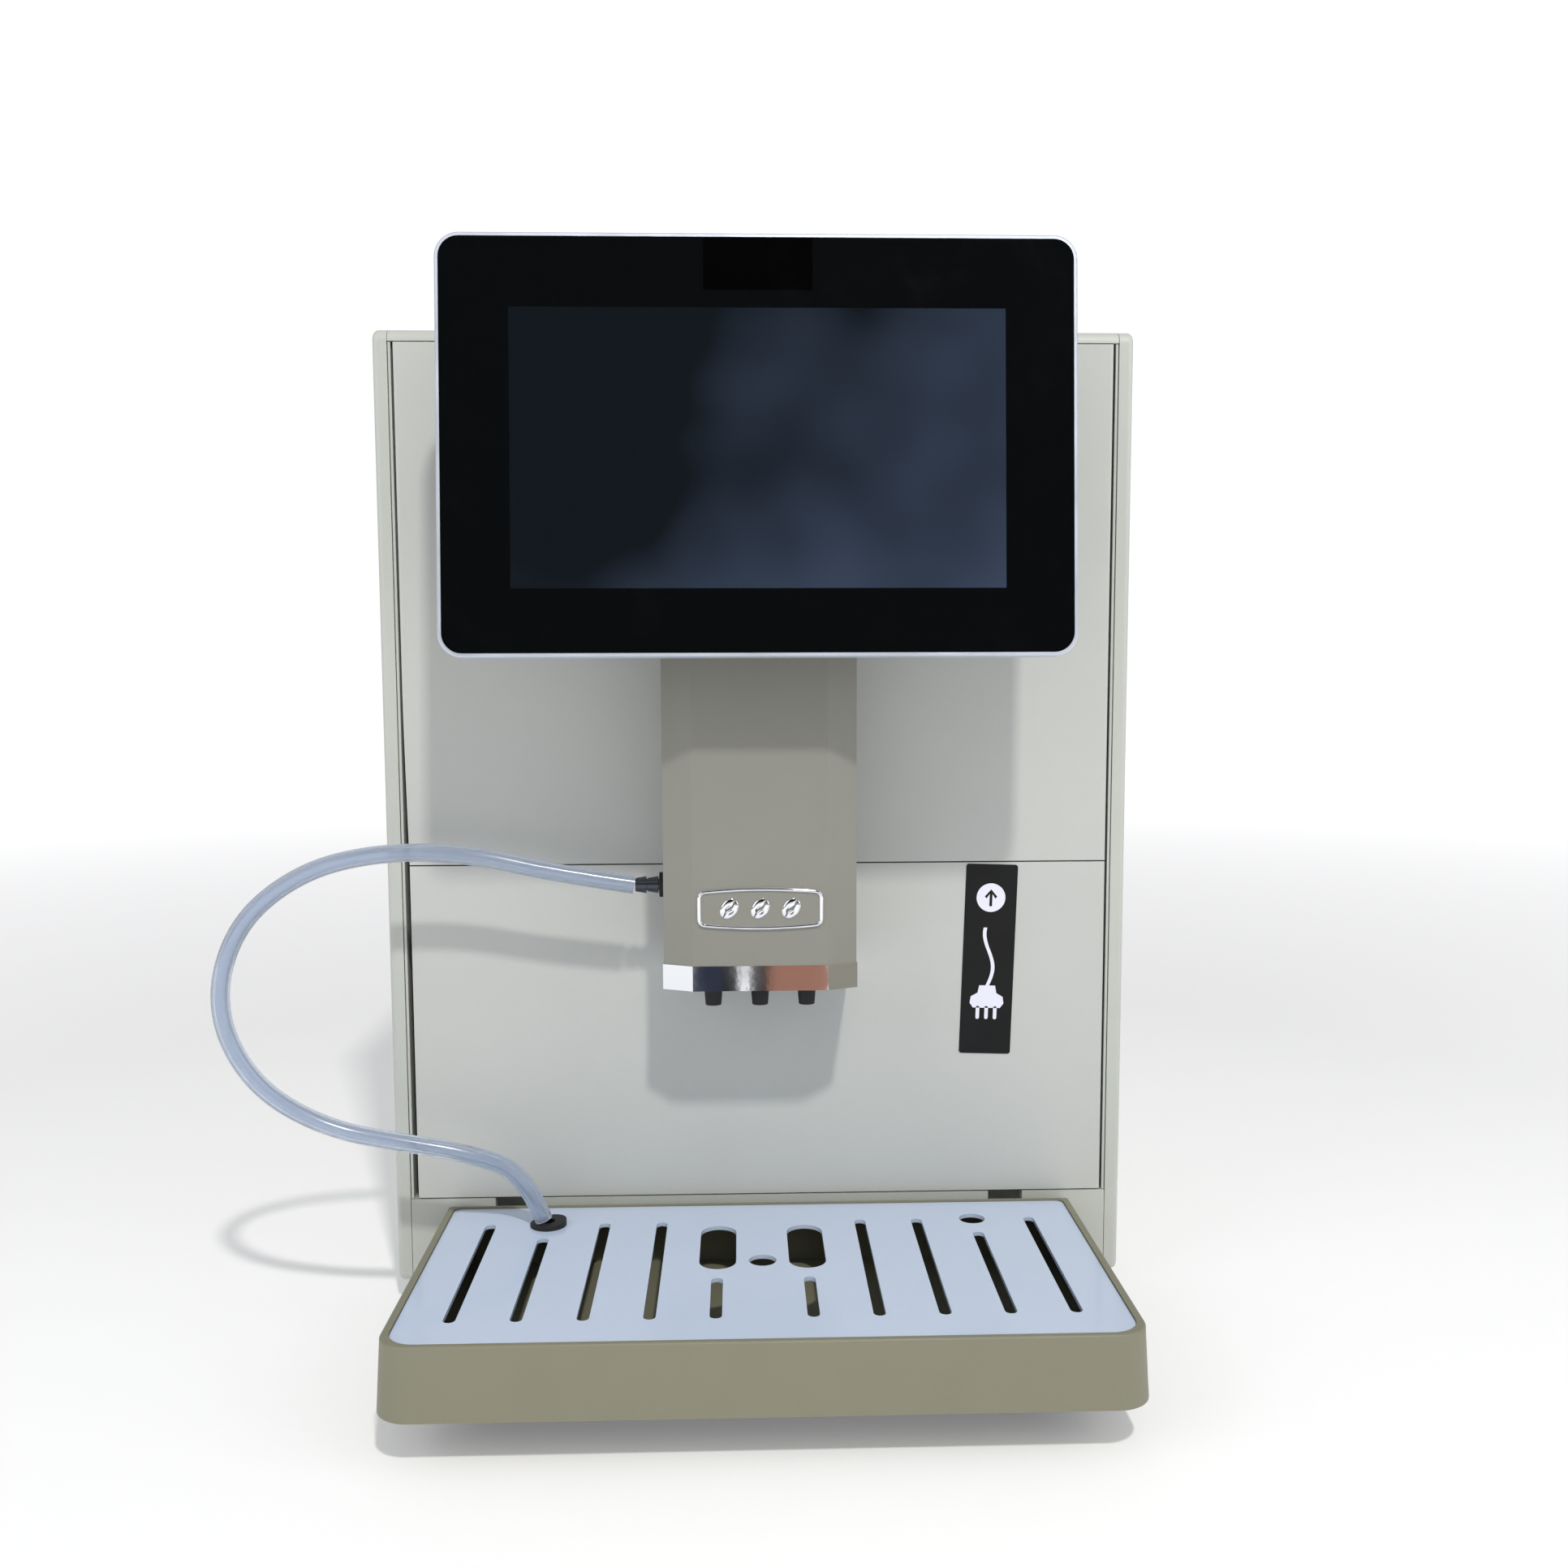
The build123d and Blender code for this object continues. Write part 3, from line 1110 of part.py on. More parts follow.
def make_nozzles():
    """Three tapered rubber nozzles plugged into the outlet block."""
    low = TIP_LOW + 0.4
    parts = []
    for x in nozzle_spots():
        height = low - NOZZLE_END_Z
        cone = Pos(x, FRONT_Y + NOZZLE_Y, NOZZLE_END_Z + height / 2) * Cone(NOZZLE_END_R, NOZZLE_TOP_R, height)
        cone += post(x, NOZZLE_Y, low - 1, low + 5.5, NOZZLE_STEM_R - 0.1)
        cone -= post(x, NOZZLE_Y, NOZZLE_END_Z - 1, low + 7, NOZZLE_BORE_R)
        parts.append(cone)
    return Compound(children=parts)


def make_spout_carriage():
    """Slider that grips the rail and carries the cover."""
    half = SPOUT_HALF - SPOUT_WALL - 0.1
    fit = CARRIAGE_FIT
    y_back = -RAIL_REACH + RAIL_HEAD_T + CARRIAGE_T / 2
    y_front = -RAIL_REACH - CARRIAGE_T
    body = block(-half, half, y_front, y_back, CARRIAGE_BOTTOM, CARRIAGE_TOP)
    body -= block(-RAIL_HEAD_HALF - fit, RAIL_HEAD_HALF + fit, -RAIL_REACH - fit, -RAIL_REACH + RAIL_HEAD_T + fit,
                  CARRIAGE_BOTTOM - 1, CARRIAGE_TOP + 1)
    body -= block(-RAIL_WEB_HALF - fit, RAIL_WEB_HALF + fit, -RAIL_REACH, y_back + 1,
                  CARRIAGE_BOTTOM - 1, CARRIAGE_TOP + 1)
    for side in (-1, 1):
        x0, x1 = sorted((side * 24, side * (half - 5)))
        body -= block(x0, x1, y_front - 1, y_back + 1, CARRIAGE_BOTTOM + 8, CARRIAGE_TOP - 8)
    clip = block(-8, 8, NOZZLE_Y - 6, y_front + 1, CARRIAGE_TOP - 20, CARRIAGE_TOP - 10)
    clip -= post(0, NOZZLE_Y, CARRIAGE_TOP - 21, CARRIAGE_TOP - 9, FEED_PIPE_R + GAP / 2)
    return body + clip


def make_spout_badge():
    """Plain framed badge with a raised coffee bean."""
    def slab(w, h, r, t):
        outline = Rot(90, 0, 0) * RectangleRounded(w, h, r)
        return Pos(0, FRONT_Y + SPOUT_FRONT, BADGE_Z) * extrude(outline, t)

    inner_w, inner_h = BADGE_W - 2 * BADGE_RIM, BADGE_H - 2 * BADGE_RIM
    badge = slab(BADGE_W, BADGE_H, BADGE_R, BADGE_T) - slab(inner_w, inner_h, BADGE_R - BADGE_RIM, BADGE_T + 1)
    badge += slab(inner_w + 0.4, inner_h + 0.4, BADGE_R - BADGE_RIM, BADGE_FLOOR)
    bean = Rot(90, 0, 0) * Rot(0, 0, 25) * Ellipse(BEAN_LONG, BEAN_SHORT)
    bean_solid = Pos(0, FRONT_Y + SPOUT_FRONT, BADGE_Z) * extrude(bean, BADGE_T - 0.2)
    crease = Pos(0, FRONT_Y + SPOUT_FRONT - BADGE_T, BADGE_Z) * Rot(0, -25, 0) * Box(2 * BEAN_LONG, 1.2, 0.8)
    return badge + (bean_solid - crease)


def make_milk_washer():
    """Black sealing washer between the cover and the milk fitting."""
    ring = bar_x(-SPOUT_HALF - WASHER_T, -SPOUT_HALF, FIT_Y, FIT_Z, WASHER_R)
    return ring - bar_x(-SPOUT_HALF - WASHER_T - 1, -SPOUT_HALF + 1, FIT_Y, FIT_Z, WASHER_BORE)


def make_milk_fitting():
    """Double-barbed milk fitting that passes through the cover wall."""
    end = -SPOUT_HALF - FIT_REACH
    face = -SPOUT_HALF - WASHER_T
    shank = bar_x(end, -SPOUT_HALF + 10, FIT_Y, FIT_Z, FIT_SHANK_R)
    nut = bar_x(-SPOUT_HALF + SPOUT_WALL + GAP, -SPOUT_HALF + 8, FIT_Y, FIT_Z, WASHER_R - 1)
    fitting = shank + nut
    length = (face - end) / 2
    for i in range(2):
        x = end + i * length
        cone = Cone(FIT_BARB_SMALL, FIT_BARB_R, length - 0.6)
        fitting += Pos(x + (length - 0.6) / 2, FRONT_Y + FIT_Y, FIT_Z) * Rot(0, 90, 0) * cone
    return fitting - bar_x(end - 1, -SPOUT_HALF + 11, FIT_Y, FIT_Z, FIT_BORE_R)


def hose_corner_radii(points):
    """Arc radius for each corner of the hose's route."""
    radii = []
    for a, b, c in zip(points[:-2], points[1:-1], points[2:]):
        first = b - a
        second = c - b
        turn = math.radians(first.get_angle(second))
        shorter = min(first.length, second.length)
        radii.append(HOSE_RADIUS_SHARE * shorter / math.tan(turn / 2))
    return radii


def make_milk_hose():
    """Milk hose: straight runs joined by tangent arcs."""
    start = Vector(-SPOUT_HALF - FIT_REACH - HOSE_CLEAR, FRONT_Y + FIT_Y, FIT_Z)
    points = [start] + [Vector(x, FRONT_Y + y, z) for x, y, z in HOSE_ROUTE]
    radii = hose_corner_radii(points)
    path = FilletPolyline(*points, radius=radii)
    plane = Plane(origin=start, z_dir=points[1] - points[0])
    section = plane * (Circle(HOSE_OD / 2) - Circle(HOSE_ID / 2))
    hose = sweep(section, path=path)
    area = math.pi * (HOSE_OD ** 2 - HOSE_ID ** 2) / 4
    print("hose radii", [round(r, 1) for r in radii])
    print("hose runs", [round((b - a).length, 1) for a, b in zip(points[:-1], points[1:])])
    print("hose length", round(path.length, 1), "volume ratio", round(hose.volume / (area * path.length), 4))
    return hose


# ---------------- drip tray ----------------

def tray_plan(half, front, back, front_r, back_r):
    """Rounded plan with its own front and back corner radii."""
    depth = back - front
    plan = Pos(0, FRONT_Y + (front + back) / 2) * Rectangle(2 * half, depth)
    near = plan.vertices().sort_by(Axis.Y)[:2]
    plan = fillet(near, front_r)
    far = plan.vertices().sort_by(Axis.Y)[-2:]
    return fillet(far, back_r)


def make_tray_pan():
    """Drip tray with drafted walls, a ledge for the plate and two hooks."""
    plan = tray_plan(TRAY_HALF, TRAY_FRONT, TRAY_BACK, TRAY_CORNER_R, TRAY_BACK_R)
    outer = extrude(Pos(0, 0, TRAY_BOTTOM) * plan, TRAY_RIM - TRAY_BOTTOM, taper=TRAY_DRAFT)
    outer = fillet(outer.faces().sort_by(Axis.Z)[-1].edges(), TRAY_EDGE_R)
    seat = tray_plan(PLATE_HALF + GAP, PLATE_FRONT - GAP, PLATE_BACK + GAP, PLATE_CORNER_R + GAP, PLATE_BACK_R + GAP)
    outer -= extrude(Pos(0, 0, PLATE_TOP - PLATE_T) * seat, TRAY_RIM)
    ledge = TRAY_LEDGE
    well = tray_plan(PLATE_HALF - ledge, PLATE_FRONT + ledge, PLATE_BACK - ledge, PLATE_CORNER_R - ledge, 1.5)
    outer -= extrude(Pos(0, 0, TRAY_BOTTOM + TRAY_FLOOR) * well, TRAY_RIM)
    for x in (-HOOK_X, HOOK_X):
        outer += block(x - HOOK_W / 2, x + HOOK_W / 2, TRAY_BACK - 3, TRAY_BACK + HOOK_REACH + 4,
                       HOOK_Z, HOOK_Z + HOOK_T)
    return outer


def slot_cut(x, front, back, width):
    """Round-ended slot along Y through the plate."""
    length = back - front
    outline = SlotOverall(length, width, rotation=90)
    return extrude(Pos(x, FRONT_Y + (front + back) / 2, PLATE_TOP - PLATE_T - 1) * outline, PLATE_T + 2)


def plate_slots():
    """X, front and back of every drain slot."""
    backs = (SLOT_BACK_MID, SLOT_BACK, SLOT_BACK, SLOT_BACK_HOLE, SLOT_BACK)
    xs = [SLOT_FIRST_X + i * SLOT_PITCH for i in range(len(backs))]
    return [(side * x, back) for x, back in zip(xs, backs) for side in (-1, 1)]


def make_drip_plate():
    """Perforated cup plate."""
    plan = tray_plan(PLATE_HALF, PLATE_FRONT, PLATE_BACK, PLATE_CORNER_R, PLATE_BACK_R)
    plate = extrude(Pos(0, 0, PLATE_TOP - PLATE_T) * plan, PLATE_T)
    for x, back in plate_slots():
        plate -= slot_cut(x, SLOT_FRONT, back, SLOT_W)
    for x in (-SLOT_FIRST_X, SLOT_FIRST_X):
        plate -= slot_cut(x, OBLONG_FRONT, OBLONG_BACK, OBLONG_W)
    for x, y in ((0, ROUND_MID_Y), (ROUND_SIDE_X, ROUND_SIDE_Y), (-ROUND_SIDE_X, ROUND_SIDE_Y)):
        plate -= post(x, y, PLATE_TOP - PLATE_T - 1, PLATE_TOP + 1, ROUND_R)
    return plate


def make_hose_grommet():
    """Rubber grommet in the plate's left round hole, its mouth facing the hose."""
    x, y = -ROUND_SIDE_X, ROUND_SIDE_Y
    lip = post(x, y, PLATE_TOP, PLATE_TOP + GROMMET_HIGH, GROMMET_R)
    rise = GROMMET_HIGH - GROMMET_LOW
    turn = math.degrees(math.atan2(rise, 2 * GROMMET_R))
    slab = Pos(0, 0, 10) * Box(60, 60, 20)
    middle = PLATE_TOP + (GROMMET_LOW + GROMMET_HIGH) / 2
    lip -= Pos(x, FRONT_Y + y, middle) * Rot(0, -turn, 0) * slab
    neck = post(x, y, PLATE_TOP - PLATE_T - 1.5, PLATE_TOP + 0.5, GROMMET_NECK_R)
    tail = post(x, y, PLATE_TOP - PLATE_T - GROMMET_TAIL, PLATE_TOP - PLATE_T, GROMMET_R - 1.5)
    grommet = lip + neck + tail
    return grommet - post(x, y, PLATE_TOP - PLATE_T - GROMMET_TAIL - 1, PLATE_TOP + GROMMET_HIGH + 1, GROMMET_BORE_R)


NODES = {
    "base_pan": make_base_pan,
    "plinth": make_plinth,
    "tray_shelf": make_tray_shelf,
    "feet": make_feet,
    "side_panel_left": make_side_panel_left,
    "side_panel_right": make_side_panel_right,
    "trim_strips": make_trim_strips,
    "back_panel": make_back_panel,
    "top_cover": make_top_cover,
    "hinge_pins": make_hinge_pins,
    "door_bumpers": make_door_bumpers,
    "hopper_lid": make_hopper_lid,
    "tank_lid": make_tank_lid,
    "equipment_shelf": make_equipment_shelf,
    "grinder_body": make_grinder_body,
    "grinder_burr": make_grinder_burr,
    "bean_hopper": make_bean_hopper,
    "brew_frame": make_brew_frame,
    "brew_chamber": make_brew_chamber,
    "brew_piston": make_brew_piston,
    "drive_screw": make_drive_screw,
    "brew_motor": make_brew_motor,
    "grounds_bin": make_grounds_bin,
    "coffee_boiler": make_coffee_boiler,
    "steam_boiler": make_steam_boiler,
    "pump": make_pump,
    "water_pipes": make_water_pipes,
    "outlet_pipe": make_outlet_pipe,
    "water_tank": make_water_tank,
    "power_supply": make_power_supply,
    "control_board": make_control_board,
    "valve_block": make_valve_block,
    "fan_frame": make_fan_frame,
    "fan_rotor": make_fan_rotor,
    "mains_inlet": make_mains_inlet,
    "switch_bezel": make_switch_bezel,
    "power_rocker": make_power_rocker,
    "door_frame": make_door_frame,
    "upper_panel": make_upper_panel,
    "lower_panel": make_lower_panel,
    "instruction_label": make_instruction_label,
    "touch_glass": make_touch_glass,
    "screen_frame": make_screen_frame,
    "display_module": make_display_module,
    "screen_shell": make_screen_shell,
    "screen_bracket": make_screen_bracket,
    "spout_rail": make_spout_rail,
    "spout_cover": make_spout_cover,
    "spout_tip": make_spout_tip,
    "spout_manifold": make_spout_manifold,
    "nozzles": make_nozzles,
    "spout_carriage": make_spout_carriage,
    "spout_badge": make_spout_badge,
    "milk_washer": make_milk_washer,
    "milk_fitting": make_milk_fitting,
    "milk_hose": make_milk_hose,
    "tray_pan": make_tray_pan,
    "drip_plate": make_drip_plate,
    "hose_grommet": make_hose_grommet,
}


def main():
    """Build every node and write its STEP file."""
    os.makedirs("parts", exist_ok=True)
    for name, make in NODES.items():
        export_step(make(), os.path.join("parts", name + ".step"))


if __name__ == "__main__":
    main()
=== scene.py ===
"""Looks of a tabletop bean-to-cup coffee vending machine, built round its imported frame."""

import logging
import math
from dataclasses import dataclass, field
from enum import Enum
from typing import Any, ClassVar, Iterable, Sequence

import bmesh
import bpy
from mathutils import Euler, Matrix, Vector


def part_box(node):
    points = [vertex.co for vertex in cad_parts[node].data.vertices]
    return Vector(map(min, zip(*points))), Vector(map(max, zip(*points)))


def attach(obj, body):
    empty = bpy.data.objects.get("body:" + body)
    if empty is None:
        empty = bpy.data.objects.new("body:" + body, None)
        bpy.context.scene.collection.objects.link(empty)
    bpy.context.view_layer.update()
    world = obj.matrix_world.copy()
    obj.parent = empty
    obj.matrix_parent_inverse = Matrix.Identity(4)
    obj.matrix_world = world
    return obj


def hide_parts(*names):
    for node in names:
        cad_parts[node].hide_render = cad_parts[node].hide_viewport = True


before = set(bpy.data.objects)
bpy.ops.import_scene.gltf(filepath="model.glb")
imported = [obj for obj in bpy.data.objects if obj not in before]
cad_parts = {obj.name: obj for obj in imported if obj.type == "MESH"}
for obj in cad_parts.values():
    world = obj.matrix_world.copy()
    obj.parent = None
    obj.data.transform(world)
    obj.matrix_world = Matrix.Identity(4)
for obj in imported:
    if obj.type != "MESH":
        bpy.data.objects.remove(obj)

LOG = logging.getLogger("coffee_machine")
MM = 0.001
SHARP_DEGREES = 35
TUBE_SIDES = 28
Point = tuple[float, float, float]
Outline = list[tuple[float, float]]
Socket = bpy.types.NodeSocket


def linear(hex_colour: str) -> tuple[float, float, float, float]:
    """Turn an sRGB hex colour into linear RGBA.

    Args:
        hex_colour: six hex digits, with or without a leading #.
    Returns:
        Linear red, green, blue and an alpha of 1.
    """
    digits = hex_colour.lstrip("#")
    channels = [int(digits[i:i + 2], 16) / 255 for i in (0, 2, 4)]
    red, green, blue = (c / 12.92 if c <= 0.04045 else ((c + 0.055) / 1.055) ** 2.4 for c in channels)
    return (red, green, blue, 1.0)


def add_node(tree: bpy.types.NodeTree, kind: str, settings: dict[str | int, Any] | None = None,
             links: dict[str | int, Socket] | None = None) -> bpy.types.Node:
    """Add one node with its settings and links.

    Args:
        tree: the node tree that takes it.
        kind: the node's type name.
        settings: attribute names, or input names and numbers, with their values.
        links: input name or number to the output socket that feeds it.
    Returns:
        The new node.
    """
    made = tree.nodes.new(kind)
    for name, value in (settings or {}).items():
        if isinstance(name, str) and hasattr(made, name) and name not in made.inputs:
            setattr(made, name, value)
        else:
            made.inputs[name].default_value = value
    for name, source in (links or {}).items():
        tree.links.new(source, made.inputs[name])
    return made


# --------------------------------------------------------------------------
# Finishes
# --------------------------------------------------------------------------

class Wear(Enum):
    """How a surface has aged."""

    NEW = 0.0
    HANDLED = 0.5
    USED = 1.0


@dataclass(frozen=True)
class Finish:
    """A surface finish: a shader with grain bump, cloudy tint and uneven gloss.

    grain_mm is the size of the surface texture, grain_depth its bump strength,
    cloud_mm the size of slow colour drift and cloud_tint how far it goes.
    """

    name: str
    colour: str
    roughness: float
    metallic: float = 0.0
    ior: float = 1.5
    grain_mm: float = 1.6
    grain_depth: float = 0.05
    cloud_mm: float = 60.0
    cloud_tint: float = 0.03
    gloss_drift: float = 0.06
    coat: float = 0.0
    coat_roughness: float = 0.1
    stretch: Point = (1.0, 1.0, 1.0)
    wear: Wear = Wear.NEW
    made: ClassVar[dict[str, bpy.types.Material]] = {}

    def build(self) -> bpy.types.Material:
        """Build the material once and hand out the same one after that.

        Returns:
            The material.
        """
        if self.name in Finish.made:
            return Finish.made[self.name]
        material = bpy.data.materials.new(self.name)
        material.use_nodes = True
        tree = material.node_tree
        shader = next(n for n in tree.nodes if n.type == "BSDF_PRINCIPLED")
        self.set_shader(shader)
        place = add_node(tree, "ShaderNodeTexCoord").outputs["Object"]
        scaled = add_node(tree, "ShaderNodeMapping", {"Scale": self.stretch}, {"Vector": place}).outputs["Vector"]
        colour = self.tint(tree, scaled, place)
        tree.links.new(colour, shader.inputs["Base Color"])
        self.gloss(tree, scaled, shader)
        self.relief(tree, scaled, shader)
        Finish.made[self.name] = material
        return material

    def set_shader(self, shader: bpy.types.Node) -> None:
        """Set what is the same all over the surface.

        Args:
            shader: the material's shader.
        """
        shader.inputs["Metallic"].default_value = self.metallic
        if self.metallic < 0.5:
            shader.inputs["IOR"].default_value = self.ior
        shader.inputs["Coat Weight"].default_value = self.coat
        shader.inputs["Coat Roughness"].default_value = self.coat_roughness

    def tint(self, tree: bpy.types.NodeTree, scaled: Socket, place: Socket) -> Socket:
        """Base colour with slow drift and fine speckle.

        Args:
            tree: the material's nodes.
            scaled: stretched object coordinates.
            place: plain object coordinates; not used.
        Returns:
            The colour socket.
        """
        drift = add_node(tree, "ShaderNodeTexNoise",
                         {"Scale": 1000.0 / self.cloud_mm, "Detail": 3.0, "Roughness": 0.6}, {"Vector": scaled})
        speck = add_node(tree, "ShaderNodeTexNoise",
                         {"Scale": 1000.0 / self.grain_mm, "Detail": 2.0}, {"Vector": scaled})
        blend = add_node(tree, "ShaderNodeMath", {"operation": "MULTIPLY_ADD", 1: 0.35},
                         {0: speck.outputs["Fac"], 2: drift.outputs["Fac"]})
        base = linear(self.colour)
        dark = tuple(c * (1 - self.cloud_tint) for c in base[:3]) + (1.0,)
        light = tuple(min(1.0, c * (1 + self.cloud_tint)) for c in base[:3]) + (1.0,)
        ramp = add_node(tree, "ShaderNodeValToRGB", None, {"Fac": blend.outputs[0]})
        ramp.color_ramp.elements[0].position = 0.42
        ramp.color_ramp.elements[0].color = dark
        ramp.color_ramp.elements[1].position = 0.92
        ramp.color_ramp.elements[1].color = light
        return ramp.outputs["Color"]

    def gloss(self, tree: bpy.types.NodeTree, scaled: Socket, shader: bpy.types.Node) -> None:
        """Uneven roughness from a slow noise.

        Args:
            tree: the material's nodes.
            scaled: stretched object coordinates.
            shader: the shader that takes it.
        """
        noise = add_node(tree, "ShaderNodeTexNoise",
                         {"Scale": 1000.0 / (self.cloud_mm * 0.4), "Detail": 4.0}, {"Vector": scaled})
        low = max(0.02, self.roughness - self.gloss_drift)
        span = add_node(tree, "ShaderNodeMapRange",
                        {"From Min": 0.3, "From Max": 0.7, "To Min": low,
                         "To Max": self.roughness + self.gloss_drift * (1 + self.wear.value)},
                        {"Value": noise.outputs["Fac"]})
        tree.links.new(span.outputs["Result"], shader.inputs["Roughness"])

    def relief(self, tree: bpy.types.NodeTree, scaled: Socket, shader: bpy.types.Node) -> None:
        """Grain bump at its real size.

        Args:
            tree: the material's nodes.
            scaled: stretched object coordinates.
            shader: the shader that takes it.
        """
        grain = add_node(tree, "ShaderNodeTexNoise",
                         {"Scale": 1000.0 / self.grain_mm, "Detail": 3.0, "Roughness": 0.55}, {"Vector": scaled})
        bump = add_node(tree, "ShaderNodeBump", {"Strength": self.grain_depth, "Distance": 0.0004},
                        {"Height": grain.outputs["Fac"]})
        tree.links.new(bump.outputs["Normal"], shader.inputs["Normal"])


@dataclass(frozen=True)
class ClearFinish(Finish):
    """A see-through finish."""

    clearness: float = 0.9

    def set_shader(self, shader: bpy.types.Node) -> None:
        """Set transmission besides the common values.

        Args:
            shader: the material's shader.
        """
        Finish.set_shader(self, shader)
        shader.inputs["Transmission Weight"].default_value = self.clearness


@dataclass(frozen=True)
class CellFinish(Finish):
    """A leathery moulded grain made of small cells instead of noise."""

    def relief(self, tree: bpy.types.NodeTree, scaled: Socket, shader: bpy.types.Node) -> None:
        """Cell grain at its real size.

        Args:
            tree: the material's nodes.
            scaled: stretched object coordinates.
            shader: the shader that takes it.
        """
        cells = add_node(tree, "ShaderNodeTexVoronoi",
                         {"Scale": 1000.0 / self.grain_mm, "feature": "SMOOTH_F1"}, {"Vector": scaled})
        bump = add_node(tree, "ShaderNodeBump", {"Strength": self.grain_depth, "Distance": 0.0005},
                        {"Height": cells.outputs["Distance"]})
        tree.links.new(bump.outputs["Normal"], shader.inputs["Normal"])


@dataclass(frozen=True)
class ScreenFinish(Finish):
    """Black printed glass with the unlit display area showing through it.

    Areas are (x0, x1, z0, z1) in metres in the machine's frame.
    """

    display: tuple[float, float, float, float] = (0.0, 0.0, 0.0, 0.0)
    window: tuple[float, float, float, float] = (0.0, 0.0, 0.0, 0.0)
    display_dark: str = "10151A"
    # Lighter end of the display ramp: a painted reflection over the slate display.
    display_reflection_light: str = "414D63"
    window_colour: str = "020202"

    def tint(self, tree: bpy.types.NodeTree, scaled: Socket, place: Socket) -> Socket:
        """Black border, slate display area with a painted reflection that lightens it towards its lower right and a
        faint cloud, blacker sensor window.

        Args:
            tree: the material's nodes.
            scaled: stretched object coordinates; not used.
            place: plain object coordinates.
        Returns:
            The colour socket.
        """
        split = add_node(tree, "ShaderNodeSeparateXYZ", None, {"Vector": place})
        cloud = add_node(tree, "ShaderNodeTexNoise", {"Scale": 9.0, "Detail": 2.0}, {"Vector": place})
        across = add_node(tree, "ShaderNodeMath", {"operation": "MULTIPLY_ADD", 1: 2.0},
                          {0: split.outputs["X"], 2: cloud.outputs["Fac"]})
        sunk = add_node(tree, "ShaderNodeMath", {"operation": "SUBTRACT", 0: sum(self.display[2:]) / 2},
                        {1: split.outputs["Z"]})
        # Painted reflection: the display lightens towards its lower right, with a faint cloud on top.
        reflection_and_cloud = add_node(tree, "ShaderNodeMath", {"operation": "MULTIPLY_ADD", 1: 2.6},
                         {0: sunk.outputs[0], 2: across.outputs[0]})
        shade = add_node(tree, "ShaderNodeValToRGB", None, {"Fac": reflection_and_cloud.outputs[0]})
        shade.color_ramp.elements[0].position = 0.38
        shade.color_ramp.elements[0].color = linear(self.display_dark)
        shade.color_ramp.elements[1].position = 1.0
        shade.color_ramp.elements[1].color = linear(self.display_reflection_light)
        colour = add_node(tree, "ShaderNodeMix", {"data_type": "RGBA", 6: linear(self.colour)},
                          {0: self.inside(tree, split, self.display), 7: shade.outputs["Color"]})
        return add_node(tree, "ShaderNodeMix", {"data_type": "RGBA", 7: linear(self.window_colour)},
                        {0: self.inside(tree, split, self.window), 6: colour.outputs[2]}).outputs[2]

    def inside(self, tree: bpy.types.NodeTree, split: bpy.types.Node, area: Sequence[float]) -> Socket:
        """Mask that is 1 inside an upright rectangle.

        Args:
            tree: the material's nodes.
            split: node that gives X and Z.
            area: x0, x1, z0, z1 in metres.
        Returns:
            The mask socket.
        """
        mask = None
        for axis, low, high in (("X", area[0], area[1]), ("Z", area[2], area[3])):
            for limit, turn in ((low, "GREATER_THAN"), (high, "LESS_THAN")):
                test = add_node(tree, "ShaderNodeMath", {"operation": turn, 1: limit}, {0: split.outputs[axis]})
                if mask is None:
                    mask = test.outputs[0]
                else:
                    both = add_node(tree, "ShaderNodeMath", {"operation": "MULTIPLY"}, {0: mask, 1: test.outputs[0]})
                    mask = both.outputs[0]
        return mask

    def gloss(self, tree: bpy.types.NodeTree, scaled: Socket, shader: bpy.types.Node) -> None:
        """Polished glass with faint finger smears.

        Args:
            tree: the material's nodes.
            scaled: stretched object coordinates.
            shader: the shader that takes it.
        """
        smear = add_node(tree, "ShaderNodeTexNoise",
                         {"Scale": 22.0, "Detail": 6.0, "Roughness": 0.7, "Distortion": 1.2}, {"Vector": scaled})
        span = add_node(tree, "ShaderNodeMapRange",
                        {"From Min": 0.5, "From Max": 0.75, "To Min": self.roughness, "To Max": self.roughness + 0.12},
                        {"Value": smear.outputs["Fac"]})
        tree.links.new(span.outputs["Result"], shader.inputs["Roughness"])


# Fine spark-eroded ABS: an even satin off-white with a soft grain.
WHITE_ABS = Finish("moulded_abs_off_white", "BDC0B9", 0.42, grain_mm=1.4, grain_depth=0.10, cloud_tint=0.025)
# Powder coat on folded sheet: slightly orange-peeled satin white.
WHITE_POWDER = Finish("powder_coated_sheet_white", "BFC1BD", 0.36, grain_mm=2.2, grain_depth=0.07, cloud_mm=90,
                      cloud_tint=0.02, coat=0.15, coat_roughness=0.3)
# Metallic-filled paint on ABS: warm taupe with a soft sheen.
TAUPE_PAINT = Finish("painted_abs_taupe", "85847B", 0.38, grain_mm=1.3, grain_depth=0.08, cloud_tint=0.03, coat=0.2,
                     coat_roughness=0.35)
# Moulded polypropylene: olive beige, softly matt.
BEIGE_PP = Finish("moulded_polypropylene_beige", "83816D", 0.48, grain_mm=1.6, grain_depth=0.12, cloud_tint=0.03)
# Enamelled cup plate: hard, cool white gloss.
WHITE_ENAMEL = Finish("enamelled_steel_white", "C5D3E8", 0.2, grain_mm=5.0, grain_depth=0.012, cloud_mm=70,
                      cloud_tint=0.015, coat=0.4, coat_roughness=0.08)
# Electroplated chrome on ABS: a near mirror with faint waviness.
CHROME = Finish("electroplated_chrome", "E6E8EC", 0.05, metallic=1.0, grain_mm=9.0, grain_depth=0.05, cloud_tint=0.01,
                gloss_drift=0.02)
# Bead-blasted, anodised aluminium: fine sparkle, satin silver.
ANODISED = Finish("blasted_anodised_aluminium", "D3D9E4", 0.44, metallic=0.7, grain_mm=0.8, grain_depth=0.10,
                  cloud_tint=0.03)
